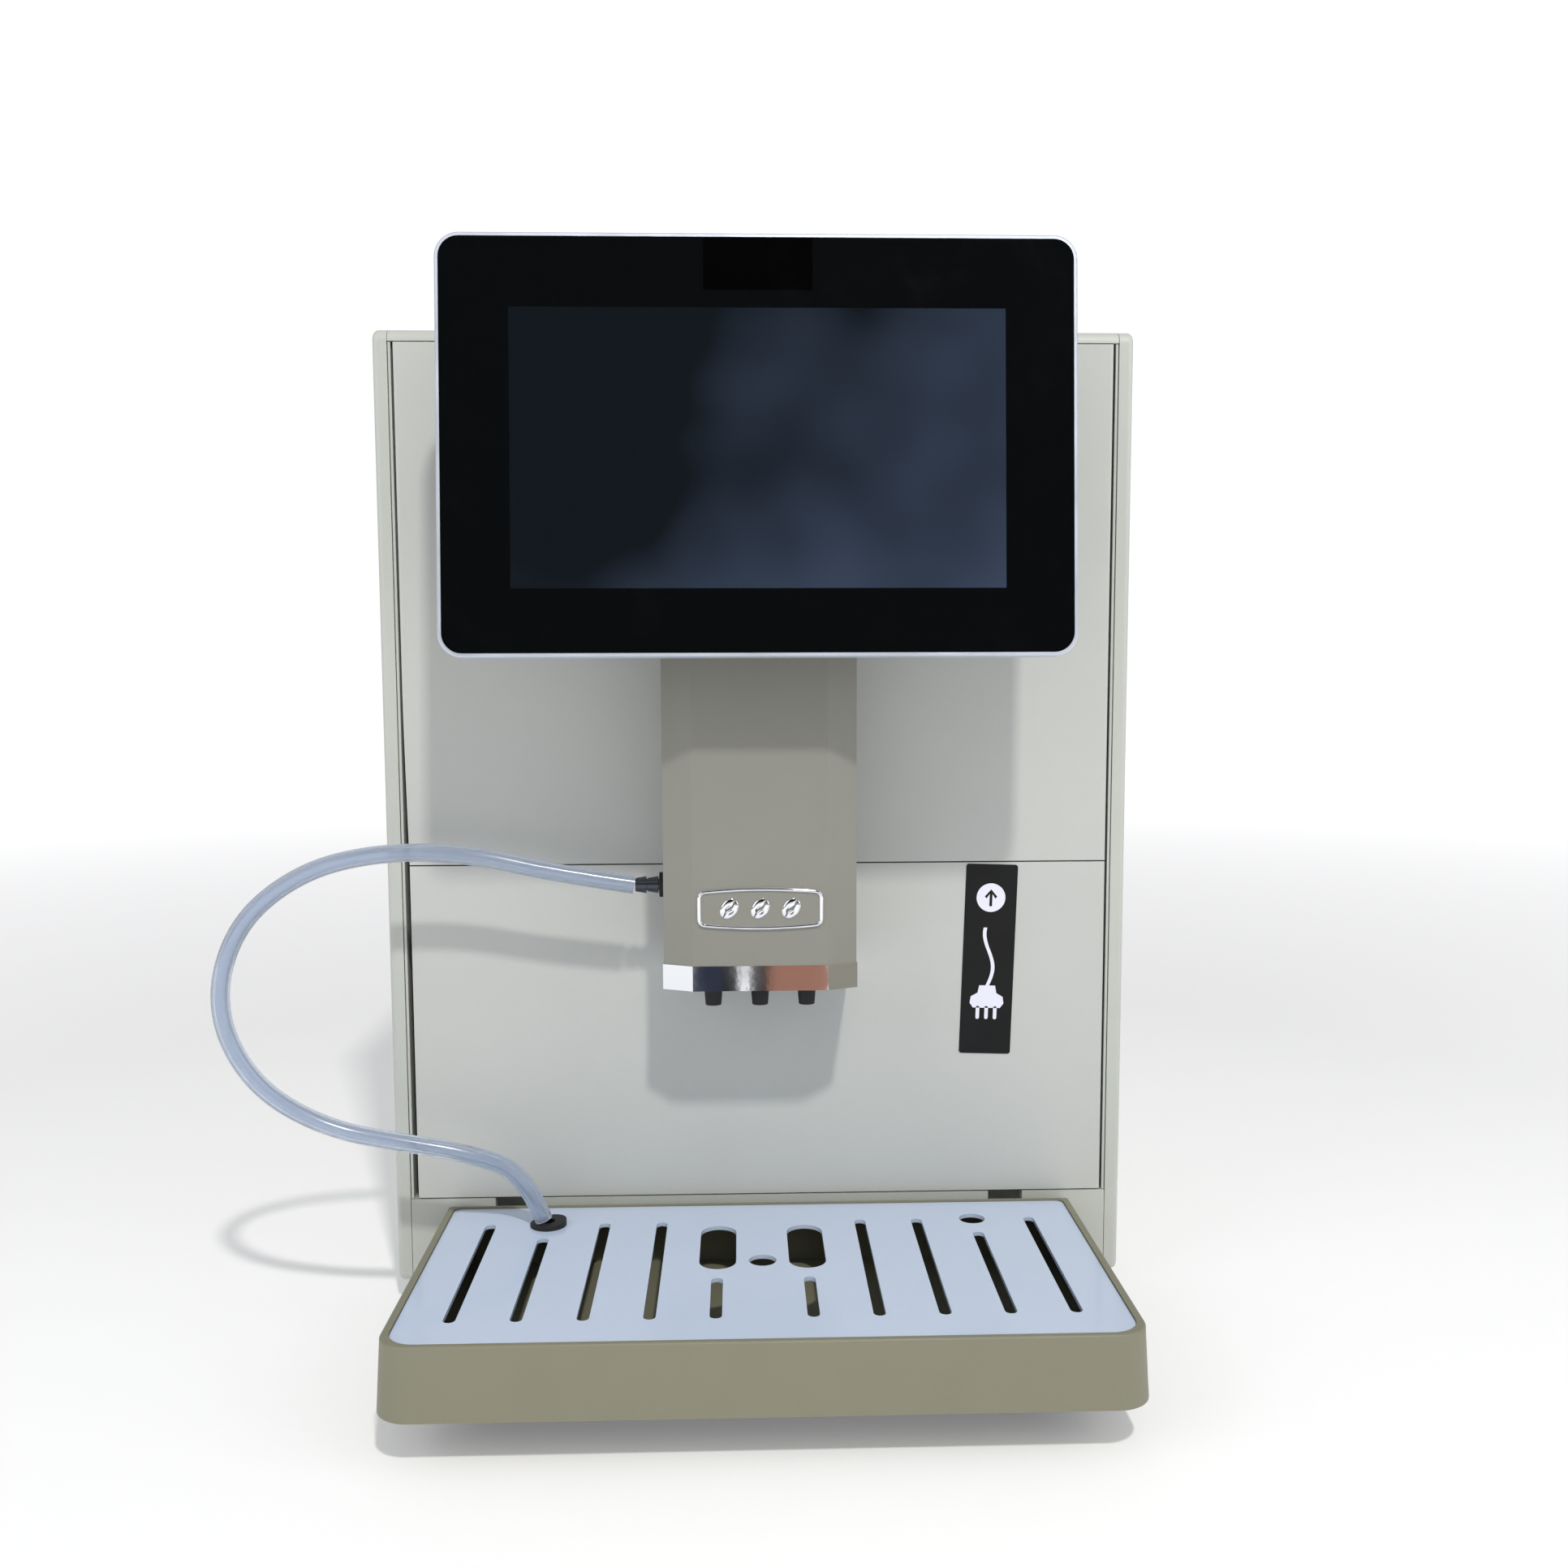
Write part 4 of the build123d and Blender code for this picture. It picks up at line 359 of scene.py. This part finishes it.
# Galvanised sheet steel: dull grey with spangle drift.
GALVANISED = Finish("galvanised_sheet_steel", "9A9D9F", 0.38, metallic=1.0, grain_mm=3.5, grain_depth=0.06, cloud_mm=12,
                    cloud_tint=0.12, gloss_drift=0.12, wear=Wear.HANDLED)
# Turned and brushed stainless: bright with fine lines round the part.
STAINLESS = Finish("brushed_stainless_steel", "B9BBBD", 0.24, metallic=1.0, grain_mm=1.2, grain_depth=0.16,
                   cloud_tint=0.05, stretch=(1.0, 1.0, 14.0))
# Machined brass: warm yellow with tool marks.
BRASS = Finish("machined_brass", "B08D4A", 0.28, metallic=1.0, grain_mm=1.2, grain_depth=0.12, cloud_tint=0.08,
               stretch=(8.0, 1.0, 1.0), wear=Wear.HANDLED)
# Die-cast alloy: grey with a pebbled skin.
CAST_ALLOY = Finish("die_cast_alloy", "8E9194", 0.45, metallic=1.0, grain_mm=1.5, grain_depth=0.25, cloud_tint=0.06)
# Glass-filled nylon: dull near-black with a fine leathery grain.
BLACK_NYLON = CellFinish("glass_filled_nylon_black", "17181A", 0.5, grain_mm=1.1, grain_depth=0.18, cloud_tint=0.1)
# Moulded rubber: matt black, slightly dusty.
RUBBER = Finish("moulded_rubber_black", "121314", 0.62, ior=1.52, grain_mm=0.9, grain_depth=0.2, cloud_tint=0.2,
                wear=Wear.HANDLED)
# Clear smoked SAN: the tank and hopper.
SMOKED_SAN = ClearFinish("smoked_san_clear", "C8D0D4", 0.08, ior=1.57, grain_mm=4.0, grain_depth=0.02, clearness=0.9)
# Extruded silicone: milky clear, soft highlights.
SILICONE = ClearFinish("extruded_silicone_clear", "D6E0EF", 0.16, ior=1.41, grain_mm=5.0, grain_depth=0.02,
                       cloud_tint=0.02, clearness=0.78)
# Smoked polycarbonate fitting: dark and glassy.
SMOKED_PC = ClearFinish("smoked_polycarbonate", "3A3F4A", 0.12, ior=1.58, grain_mm=3.0, grain_depth=0.02,
                        clearness=0.55)
# Fibreglass circuit board: green solder mask.
CIRCUIT = Finish("solder_mask_green", "1E5A34", 0.3, grain_mm=1.0, grain_depth=0.1, cloud_mm=8, cloud_tint=0.25,
                 coat=0.5)
# Vinyl film, printed black: smooth with a slight sheen.
BLACK_VINYL = Finish("printed_vinyl_black", "0B0C0E", 0.42, ior=1.35, grain_mm=2.5, grain_depth=0.04, cloud_tint=0.08)
# White ink on vinyl.
WHITE_INK = Finish("printed_ink_white", "E8E8F4", 0.4, grain_mm=2.0, grain_depth=0.03, cloud_tint=0.02)


# --------------------------------------------------------------------------
# Mesh helpers
# --------------------------------------------------------------------------

def new_piece(name: str, form: bmesh.types.BMesh, finish: Finish, body: str, smooth: bool = True) -> bpy.types.Object:
    """Make an object from a mesh form, dress it and put it on its body.

    Args:
        name: the piece's name.
        form: the finished mesh form, which is freed.
        finish: its finish.
        body: the body it rides on.
        smooth: whether its faces shade smooth below the sharp angle.
    Returns:
        The new object.
    """
    mesh = bpy.data.meshes.new(name)
    bmesh.ops.recalc_face_normals(form, faces=form.faces)
    form.to_mesh(mesh)
    form.free()
    piece = bpy.data.objects.new(name, mesh)
    bpy.context.scene.collection.objects.link(piece)
    if smooth:
        mesh.shade_smooth()
        mesh.set_sharp_from_angle(angle=math.radians(SHARP_DEGREES))
    mesh.materials.append(finish.build())
    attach(piece, body)
    LOG.info("built %s on %s", name, body)
    return piece


def prism(form: bmesh.types.BMesh, outline: Sequence[tuple[float, float]], depth: float, place: Matrix,
          holes: Iterable[Sequence[tuple[float, float]]] = ()) -> None:
    """Add an extruded outline that lies in XZ and grows towards -Y.

    Args:
        form: the mesh form that takes it.
        outline: points in metres, in X and Z.
        depth: how far it grows.
        place: where it goes.
        holes: further outlines that are open.
    """
    loops = [list(outline)] + [list(h) for h in holes]
    edges = []
    for loop in loops:
        verts = [form.verts.new(place @ Vector((x, 0, z))) for x, z in loop]
        edges += [form.edges.new((a, b)) for a, b in zip(verts, verts[1:] + verts[:1])]
    filled = bmesh.ops.triangle_fill(form, edges=edges, use_beauty=True)
    faces = [f for f in filled["geom"] if isinstance(f, bmesh.types.BMFace)]
    grown = bmesh.ops.extrude_face_region(form, geom=faces)
    shift = place.to_3x3() @ Vector((0, -depth, 0))
    bmesh.ops.translate(form, vec=shift, verts=[v for v in grown["geom"] if isinstance(v, bmesh.types.BMVert)])


def rounded_rectangle(width: float, height: float, radius: float, steps: int = 8) -> Outline:
    """Outline of a rectangle with round corners, round its centre.

    Args:
        width: its width, in metres.
        height: its height.
        radius: its corner radius.
        steps: divisions of each corner.
    Returns:
        Its points.
    """
    points = []
    for quarter, (sx, sz) in enumerate(((1, 1), (-1, 1), (-1, -1), (1, -1))):
        cx, cz = sx * (width / 2 - radius), sz * (height / 2 - radius)
        for step in range(steps + 1):
            turn = math.radians(90 * quarter + 90 * step / steps)
            points.append((cx + radius * math.cos(turn), cz + radius * math.sin(turn)))
    return points


def circle(radius: float, steps: int = 40, centre: tuple[float, float] = (0.0, 0.0)) -> Outline:
    """Outline of a circle.

    Args:
        radius: its radius, in metres.
        steps: how many points it has.
        centre: its middle.
    Returns:
        Its points.
    """
    return [(centre[0] + radius * math.cos(2 * math.pi * i / steps),
             centre[1] + radius * math.sin(2 * math.pi * i / steps)) for i in range(steps)]


def tube_rings(form: bmesh.types.BMesh, line: Sequence[Vector], radius: float) -> list[list[bmesh.types.BMVert]]:
    """Add rings of vertices along a line, without twist.

    Args:
        form: the mesh form that takes them.
        line: the points that the tube follows.
        radius: the tube's radius.
    Returns:
        The rings, first to last.
    """
    rings = []
    normal = Vector((0, -1, 0))
    for i, spot in enumerate(line):
        ahead = line[min(i + 1, len(line) - 1)] - line[max(i - 1, 0)]
        ahead.normalize()
        normal = (normal - ahead * normal.dot(ahead)).normalized()
        across = ahead.cross(normal)
        turns = [2 * math.pi * k / TUBE_SIDES for k in range(TUBE_SIDES)]
        rings.append([form.verts.new(spot + radius * (math.cos(t) * normal + math.sin(t) * across)) for t in turns])
    return rings


def skin_rings(form: bmesh.types.BMesh, rings: Sequence[Sequence[bmesh.types.BMVert]]) -> None:
    """Join neighbouring rings with quads.

    Args:
        form: the mesh form that holds them.
        rings: rings of equal count, in order.
    """
    for a, b in zip(rings[:-1], rings[1:]):
        count = len(a)
        for k in range(count):
            form.faces.new((a[k], a[(k + 1) % count], b[(k + 1) % count], b[k]))


# --------------------------------------------------------------------------
# Sub-assemblies
# --------------------------------------------------------------------------

@dataclass
class MilkHose:
    """Clear milk hose from the spout's fitting to the grommet in the cup plate."""

    outer: float = 9.0 * MM
    inner: float = 5.0 * MM
    length: float = 0.4535
    front_y: float = -100.0
    route: tuple[Point, ...] = (
        (-62.3, -37.0, 230.4), (-101.0, -38.8, 236.6), (-141.8, -40.4, 246.6), (-183.5, -42.2, 248.6),
        (-224.1, -43.3, 239.4), (-257.1, -44.1, 212.8), (-268.5, -44.1, 171.4), (-251.9, -43.1, 132.5),
        (-216.7, -41.6, 109.6), (-178.5, -39.5, 101.2), (-145.6, -37.2, 94.2), (-120.0, -33.8, 82.8),
        (-110.7, -32.5, 57.9),
    )

    def points(self) -> list[Vector]:
        """Route points in metres in the machine's frame."""
        return [Vector((x, y + self.front_y, z)) * MM for x, y, z in self.route]

    def centreline(self) -> list[Vector]:
        """Points read from the smooth spline whose control points are the route.

        Returns:
            The line's points, spout end first.
        """
        curve = bpy.data.curves.new("milk_hose_line", "CURVE")
        curve.dimensions = "3D"
        curve.resolution_u = 10
        spline = curve.splines.new("NURBS")
        spots = self.points()
        spline.points.add(len(spots) - 1)
        for point, spot in zip(spline.points, spots):
            point.co = (*spot, 1.0)
        spline.order_u = 3
        spline.use_endpoint_u = True
        carrier = bpy.data.objects.new("milk_hose_line", curve)
        bpy.context.scene.collection.objects.link(carrier)
        mesh = bpy.data.meshes.new_from_object(carrier)
        line = [v.co.copy() for v in mesh.vertices]
        bpy.data.objects.remove(carrier)
        bpy.data.curves.remove(curve)
        bpy.data.meshes.remove(mesh)
        return line

    def build(self) -> bpy.types.Object:
        """Returns:
            The hose.
        """
        line = self.centreline()
        form = bmesh.new()
        outside = tube_rings(form, line, self.outer / 2)
        inside = tube_rings(form, line, self.inner / 2)
        skin_rings(form, outside)
        skin_rings(form, inside)
        skin_rings(form, (outside[0], inside[0]))
        skin_rings(form, (outside[-1], inside[-1]))
        hose = new_piece("milk_hose_clear", form, SILICONE, "spout")
        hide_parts("milk_hose")
        return hose


@dataclass
class InstructionLabel:
    """Black film label with an up arrow and a plain plug drawing."""

    width: float = 27.3 * MM
    height: float = 101.4 * MM
    corner: float = 1.5 * MM
    film: float = 0.25 * MM
    ink: float = 0.35 * MM
    turn: float = 1.9
    disc: float = 7.6 * MM
    arrow_z: float = 33.0 * MM
    plug_z: float = -26.0 * MM

    def place(self) -> Matrix:
        """Where the label's centre lies, with its small turn.

        Returns:
            The label's placement.
        """
        low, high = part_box("instruction_label")
        middle = (Vector(low) + Vector(high)) / 2
        middle.y = high[1]
        return Matrix.Translation(middle) @ Euler((0, math.radians(self.turn), 0)).to_matrix().to_4x4()

    def arrow(self) -> Outline:
        """Outline of the up arrow, as a dark shape on the disc.

        Returns:
            Its points.
        """
        stem, head, arm = 0.75, 4.4, 3.3
        outline = [(-stem, -4.6), (stem, -4.6), (stem, 1.9), (arm - 1.0, -0.5), (arm, 0.6), (0, head),
                   (-arm, 0.6), (-arm + 1.0, -0.5), (-stem, 1.9)]
        return [(x * MM, self.arrow_z + z * MM) for x, z in outline]

    def plug(self) -> list[Outline]:
        """Outlines of the plug's body, pins and lead.

        Returns:
            One outline for each shape.
        """
        base = self.plug_z
        shapes = [[(x * MM, base + z * MM) for x, z in ((-9, 2.5), (-8.5, 6.0), (-5, 8.0), (-4.2, 12.0), (4.2, 12.0),
                                                         (5, 8.0), (8.5, 6.0), (9, 2.5), (7.2, 0.0), (-7.2, 0.0))]]
        for x in (-4.6, 0.0, 4.6):
            pin = rounded_rectangle(1.9 * MM, 7.0 * MM, 0.9 * MM)
            shapes.append([(u + x * MM, v + base - 2.6 * MM) for u, v in pin])
        lead = [(0.6 * math.sin(t * 5.2) * 4.2 * MM, base + (12.0 + 31.0 * t) * MM) for t in
                [i / 24 for i in range(25)]]
        half = 0.95 * MM
        left = [(x - half, z) for x, z in lead]
        right = [(x + half, z) for x, z in reversed(lead)]
        shapes.append(left + right)
        return shapes

    def build(self) -> None:
        """Build the film and the ink above it."""
        place = self.place()
        form = bmesh.new()
        prism(form, rounded_rectangle(self.width, self.height, self.corner), self.film, place)
        film = new_piece("label_film", form, BLACK_VINYL, "door", smooth=False)
        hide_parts("instruction_label")
        rise = Matrix.Translation((0, -self.film, 0))
        form = bmesh.new()
        thin = self.ink - self.film
        prism(form, circle(self.disc, centre=(0, self.arrow_z)), thin, place @ rise, holes=[self.arrow()])
        for shape in self.plug():
            prism(form, shape, thin, place @ rise)
        ink = new_piece("label_ink", form, WHITE_INK, "door", smooth=False)


@dataclass
class Badge:
    """Plain badge on the spout: a polished half-round rim with bowed long sides, and three domed beans.

    bean holds the bean's half length and half width, and dome the rings of its
    cushion as (share of the outline, share of the height).
    """

    width: float = 61.0 * MM
    height: float = 18.2 * MM
    corner: float = 4.0 * MM
    bow: float = 1.3 * MM
    rim: float = 1.9 * MM
    depth: float = 1.4 * MM
    side: float = 0.6 * MM
    floor: float = 0.5 * MM
    dome: tuple[tuple[float, float], ...] = ((1.0, 0.0), (1.0, 0.3), (0.9, 0.62), (0.72, 0.84), (0.45, 0.96))
    bean: tuple[float, float] = (5.2 * MM, 3.6 * MM)
    bean_spots: tuple[float, ...] = (-15.0 * MM, 0.0, 15.0 * MM)
    bean_lean: float = -35.0

    def bowed(self, inset: float) -> Outline:
        """Rounded rectangle whose long sides bow outwards.

        Args:
            inset: how far inside the badge's edge it runs.
        Returns:
            Its points.
        """
        steps = 12
        half = self.width / 2 - self.corner
        points = []
        outline = rounded_rectangle(self.width - 2 * inset, self.height - 2 * inset, self.corner - inset)
        for i, (x, z) in enumerate(outline):
            points.append((x, z))
            end = outline[(i + 1) % len(outline)]
            if abs(end[0] - x) > half:
                points += [(x + (end[0] - x) * k / steps, z) for k in range(1, steps)]
        return [(x, z + math.copysign(self.bow * (1 - min(1.0, abs(x) / half) ** 2), z)) for x, z in points]

    def bean_half(self, side: int, turn: float, shift: float) -> Outline:
        """Outline of one half of the bean, along its wavy crease.

        Args:
            side: -1 for the left half, 1 for the right.
            turn: how far the bean leans, in radians.
            shift: where its middle stands, in X.
        Returns:
            Its points.
        """
        steps = 20
        arc = [(side * self.bean[1] * math.sin(math.pi * i / steps) + side * 0.35 * MM,
                self.bean[0] * math.cos(math.pi * i / steps)) for i in range(steps + 1)]
        crease = [(side * 0.35 * MM + 0.8 * MM * math.sin(math.pi * (2 * i / steps - 1)),
                   -self.bean[0] * (1 - 2 * i / steps) * 0.98) for i in range(1, steps)]
        cos, sin = math.cos(turn), math.sin(turn)
        return [(x * cos - z * sin + shift, x * sin + z * cos) for x, z in arc + crease]

    def build(self) -> None:
        """Build rim, floor and beans in place of the plain CAD badge."""
        low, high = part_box("spout_badge")
        middle = (Vector(low) + Vector(high)) / 2
        middle.y = high[1]
        place = Matrix.Translation(middle)
        rim = new_piece("badge_rim", self.rim_form(place), CHROME, "spout")
        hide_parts("spout_badge")
        form = bmesh.new()
        prism(form, self.bowed(self.rim / 2), self.floor, place)
        new_piece("badge_floor", form, TAUPE_PAINT, "spout", smooth=False)
        form = bmesh.new()
        lifted = place @ Matrix.Translation((0, -self.floor, 0))
        for shift in self.bean_spots:
            for side in (-1, 1):
                self.dome_over(form, self.bean_half(side, math.radians(self.bean_lean), shift), lifted)
        beans = new_piece("badge_beans", form, CHROME, "spout")

    def rim_form(self, place: Matrix) -> bmesh.types.BMesh:
        """Half-round bar that follows the badge's edge.

        Args:
            place: where the badge lies.
        Returns:
            The rim's mesh form.
        """
        steps = 10
        arc = [math.pi * k / steps for k in range(steps + 1)]
        profile = [(0.0, 0.0)] + [(self.rim / 2 * (1 - math.cos(a)),
                                   self.side + (self.depth - self.side) * math.sin(a)) for a in arc] + [(self.rim, 0.0)]
        form = bmesh.new()
        rings = [[form.verts.new(place @ Vector((x, -rise, z))) for x, z in self.bowed(inset)]
                 for inset, rise in profile]
        skin_rings(form, rings + rings[:1])
        return form

    def dome_over(self, form: bmesh.types.BMesh, outline: Sequence[tuple[float, float]], place: Matrix) -> None:
        """Raise a rounded cushion over an outline.

        Args:
            form: the mesh form that takes it.
            outline: its edge, in X and Z.
            place: where it goes.
        """
        tall = self.depth - self.floor
        middle_x = sum(x for x, _ in outline) / len(outline)
        middle_z = sum(z for _, z in outline) / len(outline)
        rings = [[form.verts.new(place @ Vector((middle_x + (x - middle_x) * wide, -tall * rise,
                                                 middle_z + (z - middle_z) * wide))) for x, z in outline]
                 for wide, rise in self.dome]
        skin_rings(form, rings)
        top = form.verts.new(place @ Vector((middle_x, -tall, middle_z)))
        last = rings[-1]
        for a, b in zip(last, last[1:] + last[:1]):
            form.faces.new((a, b, top))
        form.faces.new(rings[0])


@dataclass
class TouchScreen:
    """Touch screen: black glass with its display area and sensor window.

    window holds the sensor window's width, height and rise above the middle.
    """

    active: tuple[float, float] = (222.72 * MM, 125.28 * MM)
    centre_z: float = 435.3 * MM
    tilt: float = 4.5
    window: tuple[float, float, float] = (49.0 * MM, 23.0 * MM, 82.0 * MM)
    glass_finish: str = "printed_touch_glass"

    def dress(self) -> None:
        """Dress the glass with its printed areas."""
        squeeze = math.cos(math.radians(self.tilt))
        half_w, half_h = self.active[0] / 2, self.active[1] / 2 * squeeze
        width, height, up = self.window
        # Chemically toughened glass, printed black behind: a deep gloss over a slate display, whose colour carries a
        # painted reflection.
        finish = ScreenFinish(
            self.glass_finish, "07090B", 0.07, ior=1.52, grain_mm=6.0, grain_depth=0.0, coat=0.6, coat_roughness=0.04,
            display=(-half_w, half_w, self.centre_z - half_h, self.centre_z + half_h),
            window=(-width / 2, width / 2, self.centre_z + (up - height / 2) * squeeze,
                    self.centre_z + (up + height / 2) * squeeze))
        dress_node("touch_glass", finish)


def dress_node(node: str, finish: Finish) -> None:
    """Give a CAD node its finish in every material slot.

    Args:
        node: the node's name.
        finish: its finish.
    """
    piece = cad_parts[node]
    material = finish.build()
    if not piece.material_slots:
        piece.data.materials.append(material)
    for slot in piece.material_slots:
        slot.material = material
    LOG.info("dressed %s in %s", node, finish.name)


@dataclass
class CarriedParts:
    """CAD nodes that keep their shape, and the finish of each."""

    finishes: dict[str, tuple[Finish, tuple[str, ...]]] = field(default_factory=lambda: {
        "shell": (WHITE_ABS, ("side_panel_left", "side_panel_right", "trim_strips", "top_cover", "plinth",
                              "hopper_lid", "tank_lid")),
        "skins": (WHITE_POWDER, ("upper_panel", "lower_panel", "back_panel")),
        "spout": (TAUPE_PAINT, ("spout_cover",)),
        "tray": (BEIGE_PP, ("tray_pan",)),
        "plate": (WHITE_ENAMEL, ("drip_plate",)),
        "chrome": (CHROME, ("spout_tip",)),
        "silver": (ANODISED, ("screen_frame",)),
        "sheet": (GALVANISED, ("base_pan", "equipment_shelf", "brew_frame", "power_supply", "brew_motor",
                               "screen_bracket")),
        "vessels": (STAINLESS, ("coffee_boiler", "steam_boiler", "water_pipes", "outlet_pipe", "hinge_pins",
                                "drive_screw", "grinder_burr")),
        "brass": (BRASS, ("pump", "valve_block")),
        "cast": (CAST_ALLOY, ("grinder_body", "spout_rail")),
        "nylon": (BLACK_NYLON, ("tray_shelf", "brew_chamber", "brew_piston", "grounds_bin", "fan_frame", "fan_rotor",
                                "mains_inlet", "switch_bezel", "power_rocker", "door_frame", "screen_shell",
                                "spout_manifold", "spout_carriage", "display_module")),
        "rubber": (RUBBER, ("feet", "door_bumpers", "nozzles", "milk_washer", "hose_grommet")),
        "clear": (SMOKED_SAN, ("bean_hopper", "water_tank")),
        "fitting": (SMOKED_PC, ("milk_fitting",)),
        "board": (CIRCUIT, ("control_board",)),
    })

    def dress(self) -> None:
        """Dress every carried node."""
        for finish, nodes in self.finishes.values():
            for node in nodes:
                dress_node(node, finish)


# --------------------------------------------------------------------------
# Stage, lights and camera
# --------------------------------------------------------------------------

@dataclass
class Studio:
    """Pale floor, soft lights and the camera.

    Each card is its name, hex colour, left, right, Y, low and high in metres;
    each lamp its name, spot, side, power in watts and hex colour. floor_glow
    is the radius where the glow starts to rise, where it stops, and both levels.
    """

    eye: Point = (-9.5 * MM, -853.4 * MM, 335.2 * MM)
    yaw: float = 0.0315
    pitch: float = 0.0944
    roll: float = -0.0033
    focal: float = 1789.4
    frame_width: float = 1932.0
    sensor: float = 36.0
    shift: tuple[float, float] = (-0.001, 0.0164)
    floor_half: float = 40.0
    floor_glow: tuple[float, float, float, float] = (0.7, 3.2, 0.18, 0.68)
    # Cards seen only in reflections, as painted reflections: the black flag darkens the screen glass, the narrow strips
    # paint the streaks on the chrome tip's front and the taupe card its right facet.
    cards: tuple[tuple[str, str, float, float, float, float, float], ...] = (
        ("black_flag", "030303", -0.62, 0.62, -1.15, 0.36, 1.3),
        ("slate_card", "2A3448", -0.057, -0.026, -0.75, 0.02, 0.11),
        ("dark_card", "0A0C10", -0.026, -0.011, -0.75, 0.02, 0.11),
        ("grey_card", "1C1D20", -0.002, 0.016, -0.75, 0.02, 0.11),
        ("warm_card", "C08A74", 0.016, 0.072, -0.75, 0.02, 0.11),
        ("taupe_card", "B8B3A2", 0.26, 0.46, -0.39, 0.03, 0.17),
    )
    target: Point = (0.0, -0.1, 0.25)
    lamps: tuple[tuple[str, Point, float, float, str], ...] = (
        ("key", (0.32, -1.75, 2.15), 0.12, 33.0, "FFFDF8"),
        ("fill_left", (-1.9, -1.5, 1.5), 1.6, 11.5, "F4F7FF"),
        ("fill_right", (2.0, -1.2, 1.3), 1.6, 9.5, "F4F7FF"),
    )
    world_light: float = 0.43
    world_seen: float = 1.06

    def camera(self) -> None:
        """Place the camera at the viewing angle."""
        data = bpy.data.cameras.new("view_camera")
        data.sensor_width = self.sensor
        data.lens = self.focal / self.frame_width * self.sensor
        data.shift_x, data.shift_y = self.shift
        data.clip_end = 50.0
        camera = bpy.data.objects.new("view_camera", data)
        bpy.context.scene.collection.objects.link(camera)
        camera.location = self.eye
        ahead = Vector((math.sin(self.yaw) * math.cos(self.pitch), math.cos(self.yaw) * math.cos(self.pitch),
                        -math.sin(self.pitch)))
        level = ahead.to_track_quat("-Z", "Y").to_matrix().to_4x4()
        turned = Matrix.Rotation(self.roll, 4, "Z")
        camera.matrix_world = Matrix.Translation(self.eye) @ level @ turned
        bpy.context.scene.camera = camera

    def floor(self) -> None:
        """Plain pale floor."""
        form = bmesh.new()
        bmesh.ops.create_grid(form, x_segments=1, y_segments=1, size=self.floor_half)
        mesh = bpy.data.meshes.new("floor")
        form.to_mesh(mesh)
        form.free()
        plane = bpy.data.objects.new("floor", mesh)
        bpy.context.scene.collection.objects.link(plane)
        # Matt painted board, lit a little from below as on a product table.
        board = Finish("painted_board_pale", "F4F4F4", 0.85, grain_depth=0.0, cloud_tint=0.0).build()
        glow = next(n for n in board.node_tree.nodes if n.type == "BSDF_PRINCIPLED")
        glow.inputs["Emission Color"].default_value = linear("FFFFFF")
        tree = board.node_tree
        spot = add_node(tree, "ShaderNodeTexCoord").outputs["Object"]
        far = add_node(tree, "ShaderNodeVectorMath", {"operation": "LENGTH"}, {0: spot}).outputs["Value"]
        near, wide, low, high = self.floor_glow
        fade = add_node(tree, "ShaderNodeMapRange", {"From Min": near, "From Max": wide, "To Min": low, "To Max": high},
                        {"Value": far})
        tree.links.new(fade.outputs["Result"], glow.inputs["Emission Strength"])
        mesh.materials.append(board)

    def hang_cards(self) -> None:
        """Small cards round the camera that only show in gloss, as in a dim room: they paint reflections into the
        chrome tip and the screen glass.
        """
        for name, colour, left, right, y, low, high in self.cards:
            form = bmesh.new()
            form.faces.new([form.verts.new(spot) for spot in
                            ((left, y, low), (right, y, low), (right, y, high), (left, y, high))])
            mesh = bpy.data.meshes.new(name)
            form.to_mesh(mesh)
            form.free()
            card = bpy.data.objects.new(name, mesh)
            bpy.context.scene.collection.objects.link(card)
            # Flocked card, seen only in reflections: a painted reflection.
            mesh.materials.append(Finish("reflection_only_" + name, colour, 1.0, grain_depth=0.0, cloud_tint=0.0).build())
            card.visible_camera = False
            card.visible_diffuse = False
            card.visible_shadow = False

    def lamp(self, name: str, spot: Point, size: float, power: float, colour: str) -> None:
        """Add one soft square lamp that points at the target.

        Args:
            name: its name.
            spot: where it hangs.
            size: side of its square, in metres.
            power: in watts.
            colour: sRGB hex.
        """
        data = bpy.data.lights.new(name, "AREA")
        data.shape = "SQUARE"
        data.size = size
        data.energy = power
        data.color = linear(colour)[:3]
        lamp = bpy.data.objects.new(name, data)
        bpy.context.scene.collection.objects.link(lamp)
        lamp.location = spot
        aim = Vector(self.target) - Vector(spot)
        lamp.rotation_euler = aim.to_track_quat("-Z", "Y").to_euler()

    def lights(self) -> None:
        """Key from high in front, wide fills and a pale world."""
        for name, spot, size, power, colour in self.lamps:
            self.lamp(name, spot, size, power, colour)
        world = bpy.data.worlds.new("pale_world")
        world.use_nodes = True
        tree = world.node_tree
        shade = next(n for n in tree.nodes if n.type == "BACKGROUND")
        shade.inputs["Color"].default_value = linear("FBFCFF")
        seen = add_node(tree, "ShaderNodeLightPath").outputs["Is Camera Ray"]
        level = add_node(tree, "ShaderNodeMapRange", {"To Min": self.world_light, "To Max": self.world_seen},
                         {"Value": seen})
        tree.links.new(level.outputs["Result"], shade.inputs["Strength"])
        bpy.context.scene.world = world

    def build(self) -> None:
        """Set up the whole studio."""
        self.camera()
        self.floor()
        self.hang_cards()
        self.lights()
        bpy.context.scene.view_settings.view_transform = "Standard"


def main() -> None:
    """Build the studio, the hose and the other pieces, and dress the frame."""
    logging.basicConfig(level=logging.INFO, format="%(name)s: %(message)s")
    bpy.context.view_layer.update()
    Studio().build()
    MilkHose().build()
    CarriedParts().dress()
    TouchScreen().dress()
    InstructionLabel().build()
    Badge().build()


if __name__ == "__main__":
    main()
